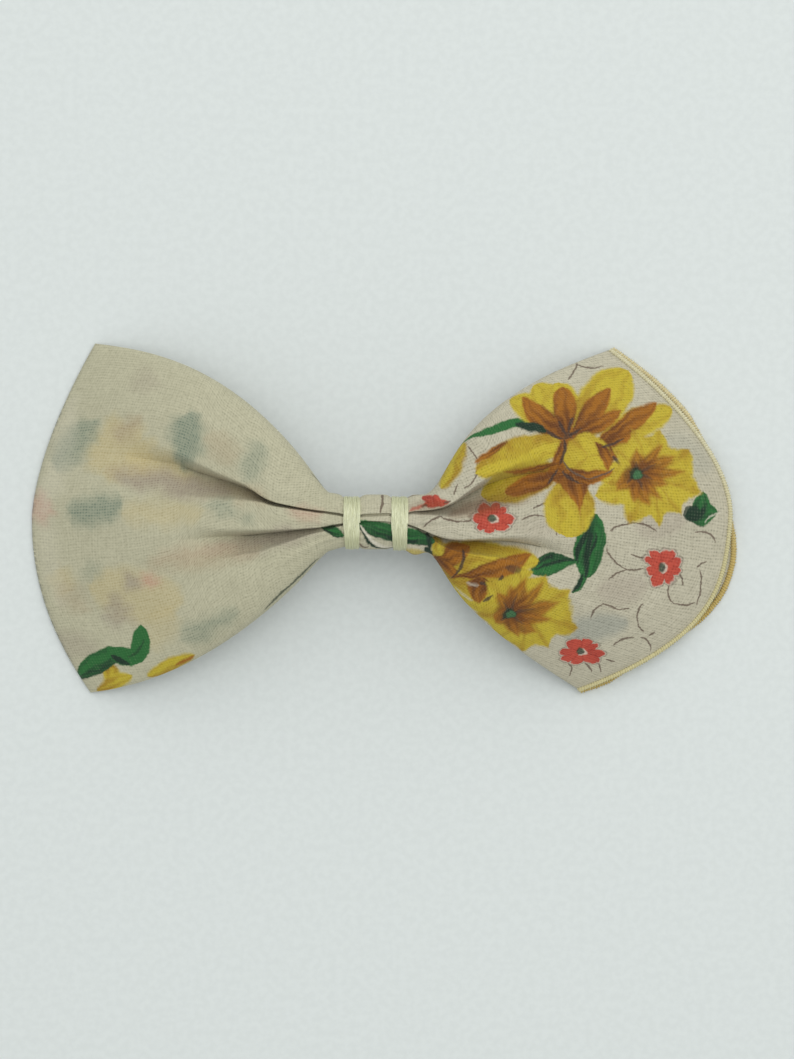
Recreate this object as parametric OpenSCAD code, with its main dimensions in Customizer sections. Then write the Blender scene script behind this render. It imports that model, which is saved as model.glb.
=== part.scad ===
// Hair bow: a printed handkerchief folded in half, gathered at the middle and lashed by two
// thread bindings to the arched bar of a spring hair clip. It lies on its back, as on a table.
// +X runs along the bow to the hemmed end, +Y across it, +Z up from the table.

/* [Neck] */
// Where the neck's centre lies from the middle of the bow, along the bow
neck_x = -1.9; // [-4:0.1:4]
// Where the neck's centre lies from the middle of the bow, across it
neck_y = -0.8; // [-3:0.1:3]
// Half length of the gathered neck, out to where the wings start to flare
neck_half = 9; // [8:0.25:11]
// Cloth that overhangs the bar's edge at the neck, on each side
neck_overhang = 0.9; // [0.6:0.1:1.6]
// Height of the gathered front leaf over the back leaf at the neck
neck_rise = 2.9; // [2:0.1:4]

/* [Left wing] */
// Neck centre to the furthest point of the folded end
left_reach = 68.8; // [60:0.2:76]
// Upper corner of the folded end, along the bow
left_top_x = 56.1; // [48:0.2:62]
// Upper corner of the folded end, across the bow
left_top_y = 35.8; // [28:0.2:40]
// Lower corner of the folded end, along the bow
left_bottom_x = 57.1; // [48:0.2:62]
// Lower corner of the folded end, across the bow
left_bottom_y = 34.2; // [28:0.2:40]

/* [Right wing] */
// Neck centre to the furthest point of the front leaf's edge
right_reach = 70.0; // [62:0.2:78]
// Upper corner of the front leaf, along the bow
right_top_x = 46.4; // [40:0.2:52]
// Upper corner of the front leaf, across the bow
right_top_y = 34.4; // [28:0.2:40]
// Lower corner of the front leaf, along the bow
right_bottom_x = 40.2; // [36:0.2:48]
// Lower corner of the front leaf, across the bow
right_bottom_y = 33.2; // [28:0.2:40]
// Extra reach of the back leaf past the front one
back_extra = 1.3; // [0:0.1:3]

/* [Cloth] */
// Thickness of one leaf, two plies of thin cotton
leaf_t = 0.5; // [0.4:0.05:0.8]
// Gap between the leaves along their folds
ply_gap = 0.1; // [0.05:0.05:0.3]
// How far the front leaf puffs up over the back one
puff = 4.6; // [2:0.2:8]
// Depth of the two gathers beside the middle pleat, at the neck
gather_depth = 2.2; // [1:0.1:2.6]
// How far the front leaf stands off the back one at the hemmed end
mouth_gap = 1.2; // [1:0.1:3]
// Diameter of the overlocked hem
hem_d = 1.1; // [0.8:0.1:1.6]

/* [Bindings] */
// Neck centre to the middle of each binding
binding_x = 4.7; // [3.8:0.1:6]
// Turns of thread in each binding
binding_turns = 4; // [3:1:6]
// Thread diameter
thread_d = 0.5; // [0.4:0.05:0.6]
// Thread pitch along the bar
thread_pitch = 0.95; // [0.92:0.01:1.1]

/* [Clip bar] */
// Length of the bar
bar_l = 70; // [66:1:74]
// Width of the bar
bar_w = 9; // [8:0.25:11]
// Sheet thickness of the bar
bar_t = 0.8; // [0.6:0.05:1]
// Radius of the bar's underside
bar_r = 90; // [85:1:110]
// Height of the bar's underside over the table, at its middle
bar_z = 11.5; // [11.2:0.1:13]
// Diameter of the sewing hole at each end
sew_hole_d = 2; // [1.6:0.1:2]
// Sewing hole's centre from the end of the bar
sew_hole_in = 2.6; // [2.2:0.1:3.2]

/* [Clasp] */
// Hinge pin from the end of the bar
hinge_in = 8; // [7:0.25:9]
// Height of the hinge pin over the table
hinge_z = 2.2; // [2:0.1:2.8]
// Hinge pin diameter
pin_d = 1.2; // [1:0.05:1.4]
// Thickness of the hinge ears
ear_t = 0.7; // [0.5:0.05:0.8]
// Radius of the ears' rounded ends
ear_r = 1.7; // [1.5:0.05:1.9]
// Width of the clasp arm
clasp_w = 5.5; // [4.5:0.25:6]
// Thickness of the clasp arm
clasp_t = 0.9; // [0.7:0.05:1.1]
// Radius of the clasp arm's underside
clasp_r = 300; // [250:10:500]
// Outer radius of the clasp's rolled knuckle
knuckle_r = 1.5; // [1.3:0.05:1.7]
// Far end of the clasp's head from the end of the bar
head_in = 5.4; // [5.2:0.1:6]
// Length of the clasp's head
head_l = 5.4; // [5.2:0.1:6.5]
// Width of the clasp's head
head_w = 9.2; // [8.8:0.1:10]
// Length of the window in the head
window_l = 3; // [2.8:0.1:3.4]
// Width of the window in the head
window_w = 7; // [6.6:0.1:7.2]
// Width of metal beyond the window at the head's end
head_rim = 1.2; // [1:0.1:1.4]

/* [Catch and tension strip] */
// Thickness of the tension strip
strip_t = 0.35; // [0.25:0.05:0.45]
// Width of the tension strip
strip_w = 5; // [4:0.25:6]
// End of the strip's free middle from the end of the bar
strip_in = 14; // [13:0.5:16]
// How far the strip's middle rises over its ends
strip_rise = 0.6; // [0.4:0.1:1]
// Thickness of the catch's base plate
base_t = 0.6; // [0.5:0.05:0.7]
// Thickness of each squeeze prong
prong_t = 0.5; // [0.4:0.05:0.6]
// Prong's hook beyond its own face
hook_reach = 0.45; // [0.2:0.05:0.5]
// Rivet shank diameter
rivet_d = 1.6; // [1.4:0.1:2]
// Rivet head diameter
rivet_head_d = 2.8; // [2.4:0.1:3.2]
// Height of each rivet head
rivet_head_h = 0.5; // [0.3:0.05:0.6]

/* [Hidden] */

// Round parts are drawn with this many sides
ROUND = 96;
// Room between pieces that seat on each other, and between a shaft and its bore
seat_gap = 0.15;
shaft_gap = 0.05;
ear_gap = 0.01;
// Room that lets a cut pass clean through a face
through = 1;

CLOTH = "antiquewhite";
HEM = "khaki";
THREAD = "lemonchiffon";
STEEL = "silver";

// Wings, as [side, reach, top corner, bottom corner, edge bow, end fullness above and below].
// Edge bow is [share that runs straight, power of the rest].
LEFT = [-1, left_reach, [left_top_x, left_top_y], [left_bottom_x, left_bottom_y],
        [0.22, 2.3], 1.6, 2.05];
RIGHT = [1, right_reach, [right_top_x, right_top_y], [right_bottom_x, right_bottom_y],
         [0.5, 3.1], 1.6, 2.9];
RIGHT_BACK = [1, right_reach + back_extra, [right_top_x + back_extra / 2, right_top_y],
              [right_bottom_x + back_extra, right_bottom_y], [0.5, 3.1], 1.6, 3.5];

// How a wing's fold line droops, and how its front leaf swells along the wing and across it
DROOP = 1.7;
SWELL = 0.8;
CROWN = [2.6, 0.5];
// Where the gathers start to fade and where they are gone, along the wing
GATHER_FADE = [0.05, 0.6];
// Least height of the front leaf over the back one, under a gather
gather_floor = 0.5;
// Where the hemmed end starts to stand open, along the wing
MOUTH_FROM = 0.55;

// Columns across a leaf from its lower fold (-1) to its upper fold (1), with the two gathers
GATHERS = [-0.25, 0.2];
GATHER_HALF = 0.1;
COLUMNS = [-1, -0.93, -0.78, -0.58, GATHERS[0] - GATHER_HALF, GATHERS[0], GATHERS[0] + GATHER_HALF,
           -0.03, GATHERS[1] - GATHER_HALF, GATHERS[1], GATHERS[1] + GATHER_HALF,
           0.5, 0.72, 0.9, 1];
BACK_COLUMNS = [-1, -0.92, -0.8, -0.65, -0.46, -0.24, 0, 0.24, 0.46, 0.65, 0.8, 0.92, 1];
WING_STEPS = 15;
NECK_STEPS = 6;

// Places along the clip, from its middle
hinge_x = bar_l / 2 - hinge_in;
head_x = bar_l / 2 - head_in;
strip_half = bar_l / 2 - strip_in;

// Small shared functions
function mix(a, b, f) = a + (b - a) * f;
function ease(low, high, x) = let (u = max(0, min(1, (x - low) / (high - low)))) u * u * (3 - 2 * u);
function arc_z(r, x) = sqrt(r * r - x * x);

// Heights of the clip's bar over the table at a distance x from its middle
bar_centre_z = bar_z - bar_r;
function bar_under(x) = bar_centre_z + arc_z(bar_r, x);
function bar_over(x) = bar_centre_z + arc_z(bar_r + bar_t, x);

// The fold line's height falls from the bar at the neck to the table at the wing's end
neck_half_w = bar_w / 2 + neck_overhang;
function seat_z(x) = bar_over(x) + seat_gap + leaf_t;
function fold_z(s, tip) = mix(seat_z(neck_half), tip, pow(s, DROOP));

// Plan of a wing: s runs from the neck (0) to the end (1), t across it from fold to fold
function rise(s, bow) = bow[0] * s + (1 - bow[0]) * (1 - pow(1 - s, bow[1]));
function end_x(w, t) =
    let (base = mix(w[3][0], w[2][0], (t + 1) / 2),
         belly = w[1] - (w[2][0] + w[3][0]) / 2)
    base + belly * (1 - pow(abs(t), t > 0 ? w[5] : w[6]));
function wing_xy(w, s, t) =
    let (top = mix(neck_half_w, w[2][1], rise(s, w[4])),
         bottom = -mix(neck_half_w, w[3][1], rise(s, w[4])))
    [w[0] * mix(neck_half, end_x(w, t), s), mix(bottom, top, (t + 1) / 2)];

// Height of the front leaf over its folds: a crown across the leaf, cut by the two gathers
function crown(t) = pow(max(0, 1 - pow(abs(t), CROWN[0])), CROWN[1]);
function crown_h(s) = neck_rise * pow(1 - s, 2) + puff * sin(180 * pow(s, SWELL));
function gather(s, t) =
    let (deep = min(gather_depth, neck_rise - gather_floor),
         left = 1 - ease(GATHER_FADE[0], GATHER_FADE[1], s))
    deep * left * max([for (g = GATHERS) exp(-pow((t - g) / (0.75 * GATHER_HALF), 2))]);

// Height of the lowest cloth at each wing's end, at the middle of the leaf's thickness
left_tip = leaf_t;
right_tip = (hem_d + leaf_t) / 2;

// A station along the bow is [side, s], and at the neck [0, x]
STATIONS = concat([for (i = [WING_STEPS:-1:1]) [-1, i / WING_STEPS]],
                  [for (i = [0:NECK_STEPS]) [0, mix(-neck_half, neck_half, i / NECK_STEPS)]],
                  [for (i = [1:WING_STEPS]) [1, i / WING_STEPS]]);

function front_point(a, t) =
    a[0] == 0
    ? [a[1], t * neck_half_w,
       seat_z(a[1]) + ply_gap + leaf_t + crown_h(0) * crown(t) - gather(0, t)]
    : let (w = a[0] < 0 ? LEFT : RIGHT,
           mouth = a[0] < 0 ? 0 : mouth_gap * ease(MOUTH_FROM, 1, a[1]),
           lift = ply_gap + leaf_t + mouth + crown_h(a[1]) * crown(t) - gather(a[1], t))
      concat(wing_xy(w, a[1], t), [fold_z(a[1], a[0] < 0 ? left_tip : right_tip) + lift]);

function back_point(a, t) =
    a[0] == 0
    ? [a[1], t * neck_half_w, seat_z(a[1])]
    : concat(wing_xy(a[0] < 0 ? LEFT : RIGHT_BACK, a[1], t),
             [fold_z(a[1], a[0] < 0 ? left_tip : right_tip)]);

// A sheet of one thickness from a grid of rows of points on its upper side
module sheet(rows, thick) {
    n = len(rows);
    m = len(rows[0]);
    top = [for (r = rows) each r];
    under = [for (p = top) p - [0, 0, thick]];
    function at(i, j) = i * m + j;
    function low(i, j) = n * m + at(i, j);
    rim = concat([for (i = [0:n - 1]) [i, 0]], [for (j = [1:m - 1]) [n - 1, j]],
                 [for (i = [n - 2:-1:0]) [i, m - 1]], [for (j = [m - 2:-1:1]) [0, j]]);
    faces = concat(
        [for (i = [0:n - 2]) for (j = [0:m - 2]) each [
            [at(i, j), at(i, j + 1), at(i + 1, j)],
            [at(i + 1, j), at(i, j + 1), at(i + 1, j + 1)],
            [low(i, j), low(i + 1, j), low(i, j + 1)],
            [low(i + 1, j), low(i + 1, j + 1), low(i, j + 1)]]],
        [for (k = [0:len(rim) - 1])
            let (a = rim[k], b = rim[(k + 1) % len(rim)]) each [
            [at(a[0], a[1]), at(b[0], b[1]), low(a[0], a[1])],
            [at(b[0], b[1]), low(b[0], b[1]), low(a[0], a[1])]]]);
    polyhedron(concat(top, under), faces, convexity = 8);
}

// A round tube swept along points, each with its own direction away from the tube's inside
module tube(points, outward, d, sides) {
    n = len(points);
    function unit(v) = v / norm(v);
    function along(i) = unit(points[min(i + 1, n - 1)] - points[max(i - 1, 0)]);
    rings = [for (i = [0:n - 1])
        let (f = along(i), u = unit(outward[i] - (outward[i] * f) * f), v = cross(f, u))
        [for (k = [0:sides - 1])
            points[i] + d / 2 * (u * cos(360 * k / sides) + v * sin(360 * k / sides))]];
    function at(i, k) = i * sides + (k % sides);
    sides_faces = [for (i = [0:n - 2]) for (k = [0:sides - 1]) each [
        [at(i, k), at(i + 1, k), at(i, k + 1)],
        [at(i, k + 1), at(i + 1, k), at(i + 1, k + 1)]]];
    ends = [for (k = [1:sides - 2]) each [
        [at(0, 0), at(0, k), at(0, k + 1)],
        [at(n - 1, 0), at(n - 1, k + 1), at(n - 1, k)]]];
    polyhedron([for (r = rings) each r], concat(sides_faces, ends), convexity = 8);
}

module placed() translate([neck_x, neck_y, 0]) children();

module front_leaf() color(CLOTH) placed()
    sheet([for (a = STATIONS) [for (t = COLUMNS) front_point(a, t)]], leaf_t);

module back_leaf() color(CLOTH) placed()
    sheet([for (a = STATIONS) [for (t = BACK_COLUMNS) back_point(a, t)]], leaf_t);

// The overlocked hem runs along a leaf's end, just clear of its cut edge
HEM_STEPS = 30;
HEM_SIDES = 6;
HEM_END = 0.995;
HEM_STEP = 0.002;
hem_out = hem_d / 2 + seat_gap;
function hem_path(w, front) = [for (i = [0:HEM_STEPS])
    let (t = mix(-HEM_END, HEM_END, i / HEM_STEPS),
         p = front ? front_point([1, 1], t) : back_point([1, 1], t),
         q = wing_xy(w, 1, t + HEM_STEP) - wing_xy(w, 1, t - HEM_STEP),
         out = [q[1], -q[0]] / norm(q))
    [p[0] + out[0] * hem_out, p[1] + out[1] * hem_out, p[2] - leaf_t / 2]];

module hem(w, front) {
    path = hem_path(w, front);
    tube(path, [for (p = path) [0, 0, 1]], hem_d, HEM_SIDES);
}
module front_hem() color(HEM) placed() hem(RIGHT, true);
module back_hem() color(HEM) placed() hem(RIGHT_BACK, false);

// A binding is one thread wound round the gathered neck and the bar under it
LOOP_RINGS = 24;
THREAD_SIDES = 6;
// How square the loop is over the cloth, and under the bar
LOOP_SQUARE = [3, 7];
thread_off = thread_d / 2 + seat_gap;
loop_half_w = neck_half_w + thread_off;
function loop_top(x) = front_point([0, x], 0)[2] + thread_off;
function loop_low(x) = bar_under(x) - thread_off;
loop_mid = bar_z + bar_t;
function corner(c, power) = sign(c) * pow(abs(c), 2 / power);
function loop_yz(a, x) =
    let (up = sin(a) > 0, power = LOOP_SQUARE[up ? 0 : 1],
         reach = up ? loop_top(x) - loop_mid : loop_mid - loop_low(x))
    [loop_half_w * corner(cos(a), power), loop_mid + reach * corner(sin(a), power)];
// The turns start and end square under the bar, where the thread is tied off
function binding_path(x0) = [for (i = [0:LOOP_RINGS * binding_turns])
    let (turn = i / LOOP_RINGS, x = x0 + (turn - binding_turns / 2) * thread_pitch,
         yz = loop_yz(-90 + 360 * turn, x0))
    [x, yz[0], yz[1]]];
function least_gap(path) = min([for (i = [0:len(path) - 1])
    for (j = [i + LOOP_RINGS / 2:1:len(path) - 1]) norm(path[i] - path[j])]) - thread_d;

module binding(x0) {
    path = binding_path(x0);
    echo(binding_at = x0, least_gap_of_turns = least_gap(path));
    tube(path, [for (p = path) [0, p[1], p[2] - loop_mid]], thread_d, THREAD_SIDES);
}
module left_binding() color(THREAD) placed() binding(-binding_x);
module right_binding() color(THREAD) placed() binding(binding_x);

// Arched strips: a plan outline, cut from a shell whose axis lies along Y
module shell(r, thick, depth) translate([0, 0, bar_centre_z]) rotate([90, 0, 0])
    difference() {
        cylinder(r = r + thick, h = depth, center = true, $fn = ROUND);
        cylinder(r = r, h = depth + through, center = true, $fn = ROUND);
    }
// A thick column over a plan outline, between two heights
module column(low, high) translate([0, 0, low]) linear_extrude(high - low) children();
module round_strip(length, width) {
    square([length - width, width], center = true);
    for (side = [-1, 1]) translate([side * (length - width) / 2, 0])
        circle(d = width, $fn = ROUND);
}
module along_y(d, length) rotate([90, 0, 0]) cylinder(d = d, h = length, center = true, $fn = ROUND);
// A drill square to the bar at a distance x along it
module square_to_bar(x) translate([0, 0, bar_centre_z]) rotate([0, asin(x / bar_r), 0])
    translate([0, 0, bar_r]) children();

// Sewing holes, catch rivet and the strip's hooked tongue, from the clip's middle
sew_hole_x = bar_l / 2 - sew_hole_in;
rivet_x = strip_half + 2.5;
strip_tail = 1.6;
tongue_x = -(strip_half + 2.9);
tongue_w = 3;
tongue_up = 0.4;
// Room between the clip's moving pieces
clip_gap = 0.2;
// Length of a cut that passes through the bar and what lies on it
drill_l = 6 * bar_t;

// One hinge ear, from the bar down round the pin
ear_top_half = 1.6 * ear_r;
module ear_outline() {
    translate([-hinge_x, hinge_z]) circle(r = ear_r, $fn = ROUND);
    polygon([[-hinge_x - ear_r, hinge_z], [-hinge_x + ear_r, hinge_z],
             [-hinge_x + ear_top_half, bar_under(hinge_x - ear_top_half) + bar_t / 2],
             [-hinge_x - ear_top_half, bar_under(hinge_x + ear_top_half) + bar_t / 2]]);
}

module clip_bar() color(STEEL) placed() difference() {
    union() {
        intersection() {
            shell(bar_r, bar_t, bar_w);
            column(0, bar_z + 2 * bar_t) round_strip(bar_l, bar_w);
        }
        for (side = [-1, 1]) translate([0, side * (bar_w - ear_t) / 2, 0]) rotate([90, 0, 0])
            linear_extrude(ear_t, center = true) ear_outline();
    }
    for (side = [-1, 1]) square_to_bar(side * sew_hole_x)
        cylinder(d = sew_hole_d, h = drill_l, center = true, $fn = ROUND);
    square_to_bar(rivet_x) cylinder(d = rivet_d, h = drill_l, center = true, $fn = ROUND);
    square_to_bar(tongue_x)
        cube([strip_t + 2 * clip_gap, tongue_w + 2 * clip_gap, drill_l], center = true);
    translate([-hinge_x, 0, hinge_z]) along_y(pin_d + 2 * ear_gap, bar_w + through);
}

// The tension strip: a flat-arched middle whose ends lie against the bar's underside
strip_end_z = bar_under(strip_half) - shaft_gap;
strip_r = (pow(strip_half, 2) + pow(strip_rise, 2)) / (2 * strip_rise);
strip_apex = strip_end_z + strip_rise;
module tension_strip() color(STEEL) placed() difference() {
    union() {
        intersection() {
            translate([0, 0, strip_apex - strip_r]) rotate([90, 0, 0]) difference() {
                cylinder(r = strip_r, h = strip_w, center = true, $fn = ROUND);
                cylinder(r = strip_r - strip_t, h = strip_w + through, center = true, $fn = ROUND);
            }
            column(0, bar_z) square([2 * strip_half, strip_w], center = true);
        }
        intersection() {
            shell(bar_r - strip_t - shaft_gap, strip_t, strip_w);
            column(0, bar_z) translate([(strip_half + rivet_x + strip_tail) / 2, 0])
                square([rivet_x + strip_tail - strip_half, strip_w], center = true);
        }
        intersection() {
            shell(bar_r - strip_t - shaft_gap, strip_t, strip_w);
            column(0, bar_z) translate([(tongue_x - strip_t / 2 - strip_half) / 2, 0])
                square([strip_t / 2 - tongue_x - strip_half, strip_w], center = true);
        }
        square_to_bar(tongue_x) translate([0, 0, (bar_t + tongue_up - strip_t) / 2])
            cube([strip_t, tongue_w, bar_t + tongue_up + strip_t], center = true);
    }
    square_to_bar(rivet_x) cylinder(d = rivet_d, h = drill_l, center = true, $fn = ROUND);
}

pin_head_d = pin_d + 0.8;
pin_head_h = 0.4;
module hinge_pin() color(STEEL) placed() translate([-hinge_x, 0, hinge_z]) {
    along_y(pin_d, bar_w);
    for (side = [-1, 1]) translate([0, side * (bar_w + pin_head_h) / 2, 0])
        along_y(pin_head_d, pin_head_h);
}

// The clasp arm: a rolled knuckle on the pin, an arched arm and a head with a window
knuckle_w = bar_w - 2 * ear_t - 2 * clip_gap;
clasp_low = hinge_z - clasp_t / 2;
clasp_centre_z = clasp_low - arc_z(clasp_r, hinge_x);
plate_corner = 1;
module clasp_plan() {
    translate([-hinge_x, -clasp_w / 2]) square([hinge_x + head_x - head_l + through, clasp_w]);
    translate([head_x - head_l / 2, 0]) round_corners(head_l, head_w, plate_corner);
}
module round_corners(length, width, r) {
    square([length - 2 * r, width], center = true);
    square([length, width - 2 * r], center = true);
    for (sx = [-1, 1]) for (sy = [-1, 1])
        translate([sx * (length / 2 - r), sy * (width / 2 - r)]) circle(r = r, $fn = ROUND);
}
window_x = head_x - head_rim - window_l / 2;
module clasp_arm() color(STEEL) placed() difference() {
    union() {
        intersection() {
            translate([0, 0, clasp_centre_z]) rotate([90, 0, 0]) difference() {
                cylinder(r = clasp_r + clasp_t, h = 2 * head_w, center = true, $fn = ROUND);
                cylinder(r = clasp_r, h = 2 * head_w + through, center = true, $fn = ROUND);
            }
            column(0, bar_z) difference() {
                clasp_plan();
                translate([window_x, 0]) square([window_l, window_w], center = true);
            }
        }
        translate([-hinge_x, 0, hinge_z]) along_y(2 * knuckle_r, knuckle_w);
    }
    translate([-hinge_x, 0, hinge_z]) along_y(pin_d + 2 * shaft_gap, bar_w);
}

// The catch: a base plate riveted under the bar, and two prongs that reach through the window
base_w = 6.4;
base_tail = 1.8;
base_r = bar_r - strip_t - 2 * shaft_gap - base_t;
base_x0 = rivet_x - base_tail;
base_x1 = window_x + window_l / 2;
module catch_base() color(STEEL) placed() difference() {
    intersection() {
        shell(base_r, base_t, base_w);
        column(0, bar_z) translate([(base_x0 + base_x1) / 2, 0])
            round_corners(base_x1 - base_x0, base_w, plate_corner);
    }
    square_to_bar(rivet_x) cylinder(d = rivet_d, h = drill_l, center = true, $fn = ROUND);
}

// The lower head is flat, so the shank leaves room for the base's curve
rivet_shank = bar_t + strip_t + base_t + 3 * shaft_gap;
module catch_rivet() color(STEEL) placed() square_to_bar(rivet_x) {
    translate([0, 0, bar_t - rivet_shank]) cylinder(d = rivet_d, h = rivet_shank, $fn = ROUND);
    translate([0, 0, bar_t]) cylinder(d = rivet_head_d, h = rivet_head_h, $fn = ROUND);
    translate([0, 0, bar_t - rivet_shank - rivet_head_h])
        cylinder(d = rivet_head_d, h = rivet_head_h, $fn = ROUND);
}

// A squeeze prong: a leg through the window with a hook below it, and a finger pad past the head
prong_face = window_w / 2 - clip_gap / 2 - hook_reach;
prong_root_z = bar_centre_z + arc_z(base_r, base_x1) - seat_gap;
prong_leg = window_l - 2 * clip_gap;
head_low = clasp_centre_z + arc_z(clasp_r, head_x);
hook_top = head_low - clip_gap;
hook_h = 0.5;
pad_x0 = head_x + 0.7;
pad_l = 3;
pad_low = 0.6;
pad_corner = 0.8;
band_low = head_low + clasp_t + 3 * clip_gap;
band_high = prong_root_z - 1;
module prong_outline() {
    translate([window_x - prong_leg / 2, hook_top - hook_h])
        square([prong_leg, prong_root_z - hook_top + hook_h]);
    translate([window_x, band_low]) square([pad_x0 - window_x + pad_l / 2, band_high - band_low]);
    translate([pad_x0 + pad_l / 2, (pad_low + band_high) / 2]) rotate(90)
        round_corners(band_high - pad_low, pad_l, pad_corner);
}
module prong() {
    translate([0, prong_face, 0]) rotate([90, 0, 0]) linear_extrude(prong_t) prong_outline();
    translate([window_x - prong_leg / 2, prong_face - prong_t / 2, hook_top - hook_h])
        cube([prong_leg, prong_t / 2 + hook_reach, hook_h]);
}
module upper_prong() color(STEEL) placed() prong();
module lower_prong() color(STEEL) placed() mirror([0, 1, 0]) prong();

front_leaf();
back_leaf();
front_hem();
back_hem();
left_binding();
right_binding();
clip_bar();
tension_strip();
hinge_pin();
clasp_arm();
catch_base();
catch_rivet();
upper_prong();
lower_prong();
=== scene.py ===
"""Hair bow: a printed handkerchief, folded, gathered and lashed to a spring clip."""

import logging
import math
from dataclasses import dataclass, field, replace
from enum import Enum
from typing import Any, Sequence

import bpy
import numpy as np
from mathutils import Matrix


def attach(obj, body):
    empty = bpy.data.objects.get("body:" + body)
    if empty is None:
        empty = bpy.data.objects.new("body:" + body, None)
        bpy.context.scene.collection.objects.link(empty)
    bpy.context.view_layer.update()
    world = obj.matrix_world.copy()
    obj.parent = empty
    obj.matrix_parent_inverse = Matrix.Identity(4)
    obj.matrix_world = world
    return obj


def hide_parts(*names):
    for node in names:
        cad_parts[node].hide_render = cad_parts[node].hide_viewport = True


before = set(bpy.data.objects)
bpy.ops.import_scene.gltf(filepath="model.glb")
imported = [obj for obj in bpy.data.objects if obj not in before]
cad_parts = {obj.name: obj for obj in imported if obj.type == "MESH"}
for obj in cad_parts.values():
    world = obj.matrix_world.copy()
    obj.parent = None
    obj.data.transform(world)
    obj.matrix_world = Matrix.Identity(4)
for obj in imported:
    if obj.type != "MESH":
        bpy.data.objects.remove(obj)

LOG = logging.getLogger("hair_bow")
# Metres in a millimetre
MM = 0.001
# Millimetres in one step of the print's grid, and the grid's size in steps
STEP = 0.2
GRID_SIZE = (794.0, 1059.0)
# Grid column where the left wing's print ends and the right wing's starts
GRID_SEAM = 350.0
# The neck's centre in the frame, in millimetres, and on the print's grid
NECK_AT = np.array([-1.9, -0.8, 0.0])
GRID_NECK = (376.0, 522.0)
# Grid steps and thread millimetres in one unit of a pattern layer
GRID_LAYER = 1000.0
THREAD_LAYER = 100.0
# How far the print may drift from where it is drawn, in grid steps
DRIFT_ROOM = 8.0
# Softness of a printed shape's edge where it shows through a ply, in grid steps
THROUGH_SOFT = 9.5

Flat = tuple[float, float]
Colour = tuple[float, float, float, float]
Box = tuple[float, float, float, float]
Array = np.ndarray
Material = bpy.types.Material
Node = bpy.types.Node
Piece = bpy.types.Object
Socket = bpy.types.NodeSocket
Tree = bpy.types.NodeTree


def ink(red: float, green: float, blue: float) -> Colour:
    """Gives a colour written in steps of 0 to 255 as linear light.

    Args:
        red: Red step.
        green: Green step.
        blue: Blue step.

    Returns:
        The linear colour with full alpha.
    """
    linear = []
    for step in (red, green, blue):
        part = step / 255
        linear.append(part / 12.92 if part <= 0.04045 else ((part + 0.055) / 1.055) ** 2.4)
    return (linear[0], linear[1], linear[2], 1.0)


def ease(low: float, high: float, value: Array | float) -> Array:
    """Rises smoothly from 0 at low to 1 at high, read at value."""
    part = np.clip((np.asarray(value, dtype=float) - low) / (high - low), 0.0, 1.0)
    return part * part * (3.0 - 2.0 * part)


def mix(start: Any, end: Any, part: Any) -> Any:
    """Goes from start to end as part goes from 0 to 1."""
    return start + (end - start) * part


class Ink(Enum):
    """Colours of the cloth, its print and its threads."""

    CREAM = ink(197, 191, 169)
    CREAM_SHADE = ink(175, 169, 147)
    FOLD_CREAM = ink(192, 188, 161)
    FOLD_SHADE = ink(173, 169, 143)
    YELLOW = ink(190, 170, 50)
    GOLD = ink(164, 132, 36)
    BROWN = ink(156, 98, 24)
    UMBER = ink(106, 60, 20)
    RED = ink(190, 76, 60)
    ROSE = ink(160, 54, 44)
    LEAF = ink(38, 102, 50)
    DARK_LEAF = ink(18, 48, 34)
    HEART = ink(60, 104, 66)
    LINE = ink(96, 78, 66)
    PALE = ink(212, 206, 188)
    SLATE = ink(108, 124, 126)
    MAUVE = ink(140, 116, 112)
    PEN = ink(62, 48, 44)
    FADED_YELLOW = ink(194, 174, 118)
    FADED_BROWN = ink(166, 146, 116)
    FADED_RED = ink(194, 138, 122)
    FADED_SLATE = ink(114, 130, 114)
    FADED_MAUVE = ink(148, 134, 122)


# Ink and strength that each ink shows through a ply with
FADED = {
    Ink.YELLOW: (Ink.FADED_YELLOW, 0.62), Ink.BROWN: (Ink.FADED_BROWN, 0.74), Ink.RED: (Ink.FADED_RED, 0.72),
    Ink.SLATE: (Ink.FADED_SLATE, 0.95), Ink.MAUVE: (Ink.FADED_MAUVE, 0.86),
}
# How much softer than the others the edges of the wet inks are
BLEED = {Ink.YELLOW: 2.2, Ink.BROWN: 1.7, Ink.RED: 1.2}


class Shade(Enum):
    """How a printed shape darkens from its own ink to its second one."""

    NONE = 0
    ROOT = 1
    RIB = 2
    SIDE = 3


# An ink, the one that it darkens to, and in some how it does
GREEN = (Ink.LEAF, Ink.DARK_LEAF)
RED = (Ink.RED, Ink.ROSE)
YELLOW = (Ink.YELLOW, Ink.GOLD, Shade.ROOT)
BROWN = (Ink.BROWN, Ink.UMBER, Shade.ROOT)
SLATE = (Ink.SLATE, Ink.DARK_LEAF, Shade.SIDE)
MAUVE = (Ink.MAUVE, Ink.UMBER, Shade.ROOT)


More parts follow.
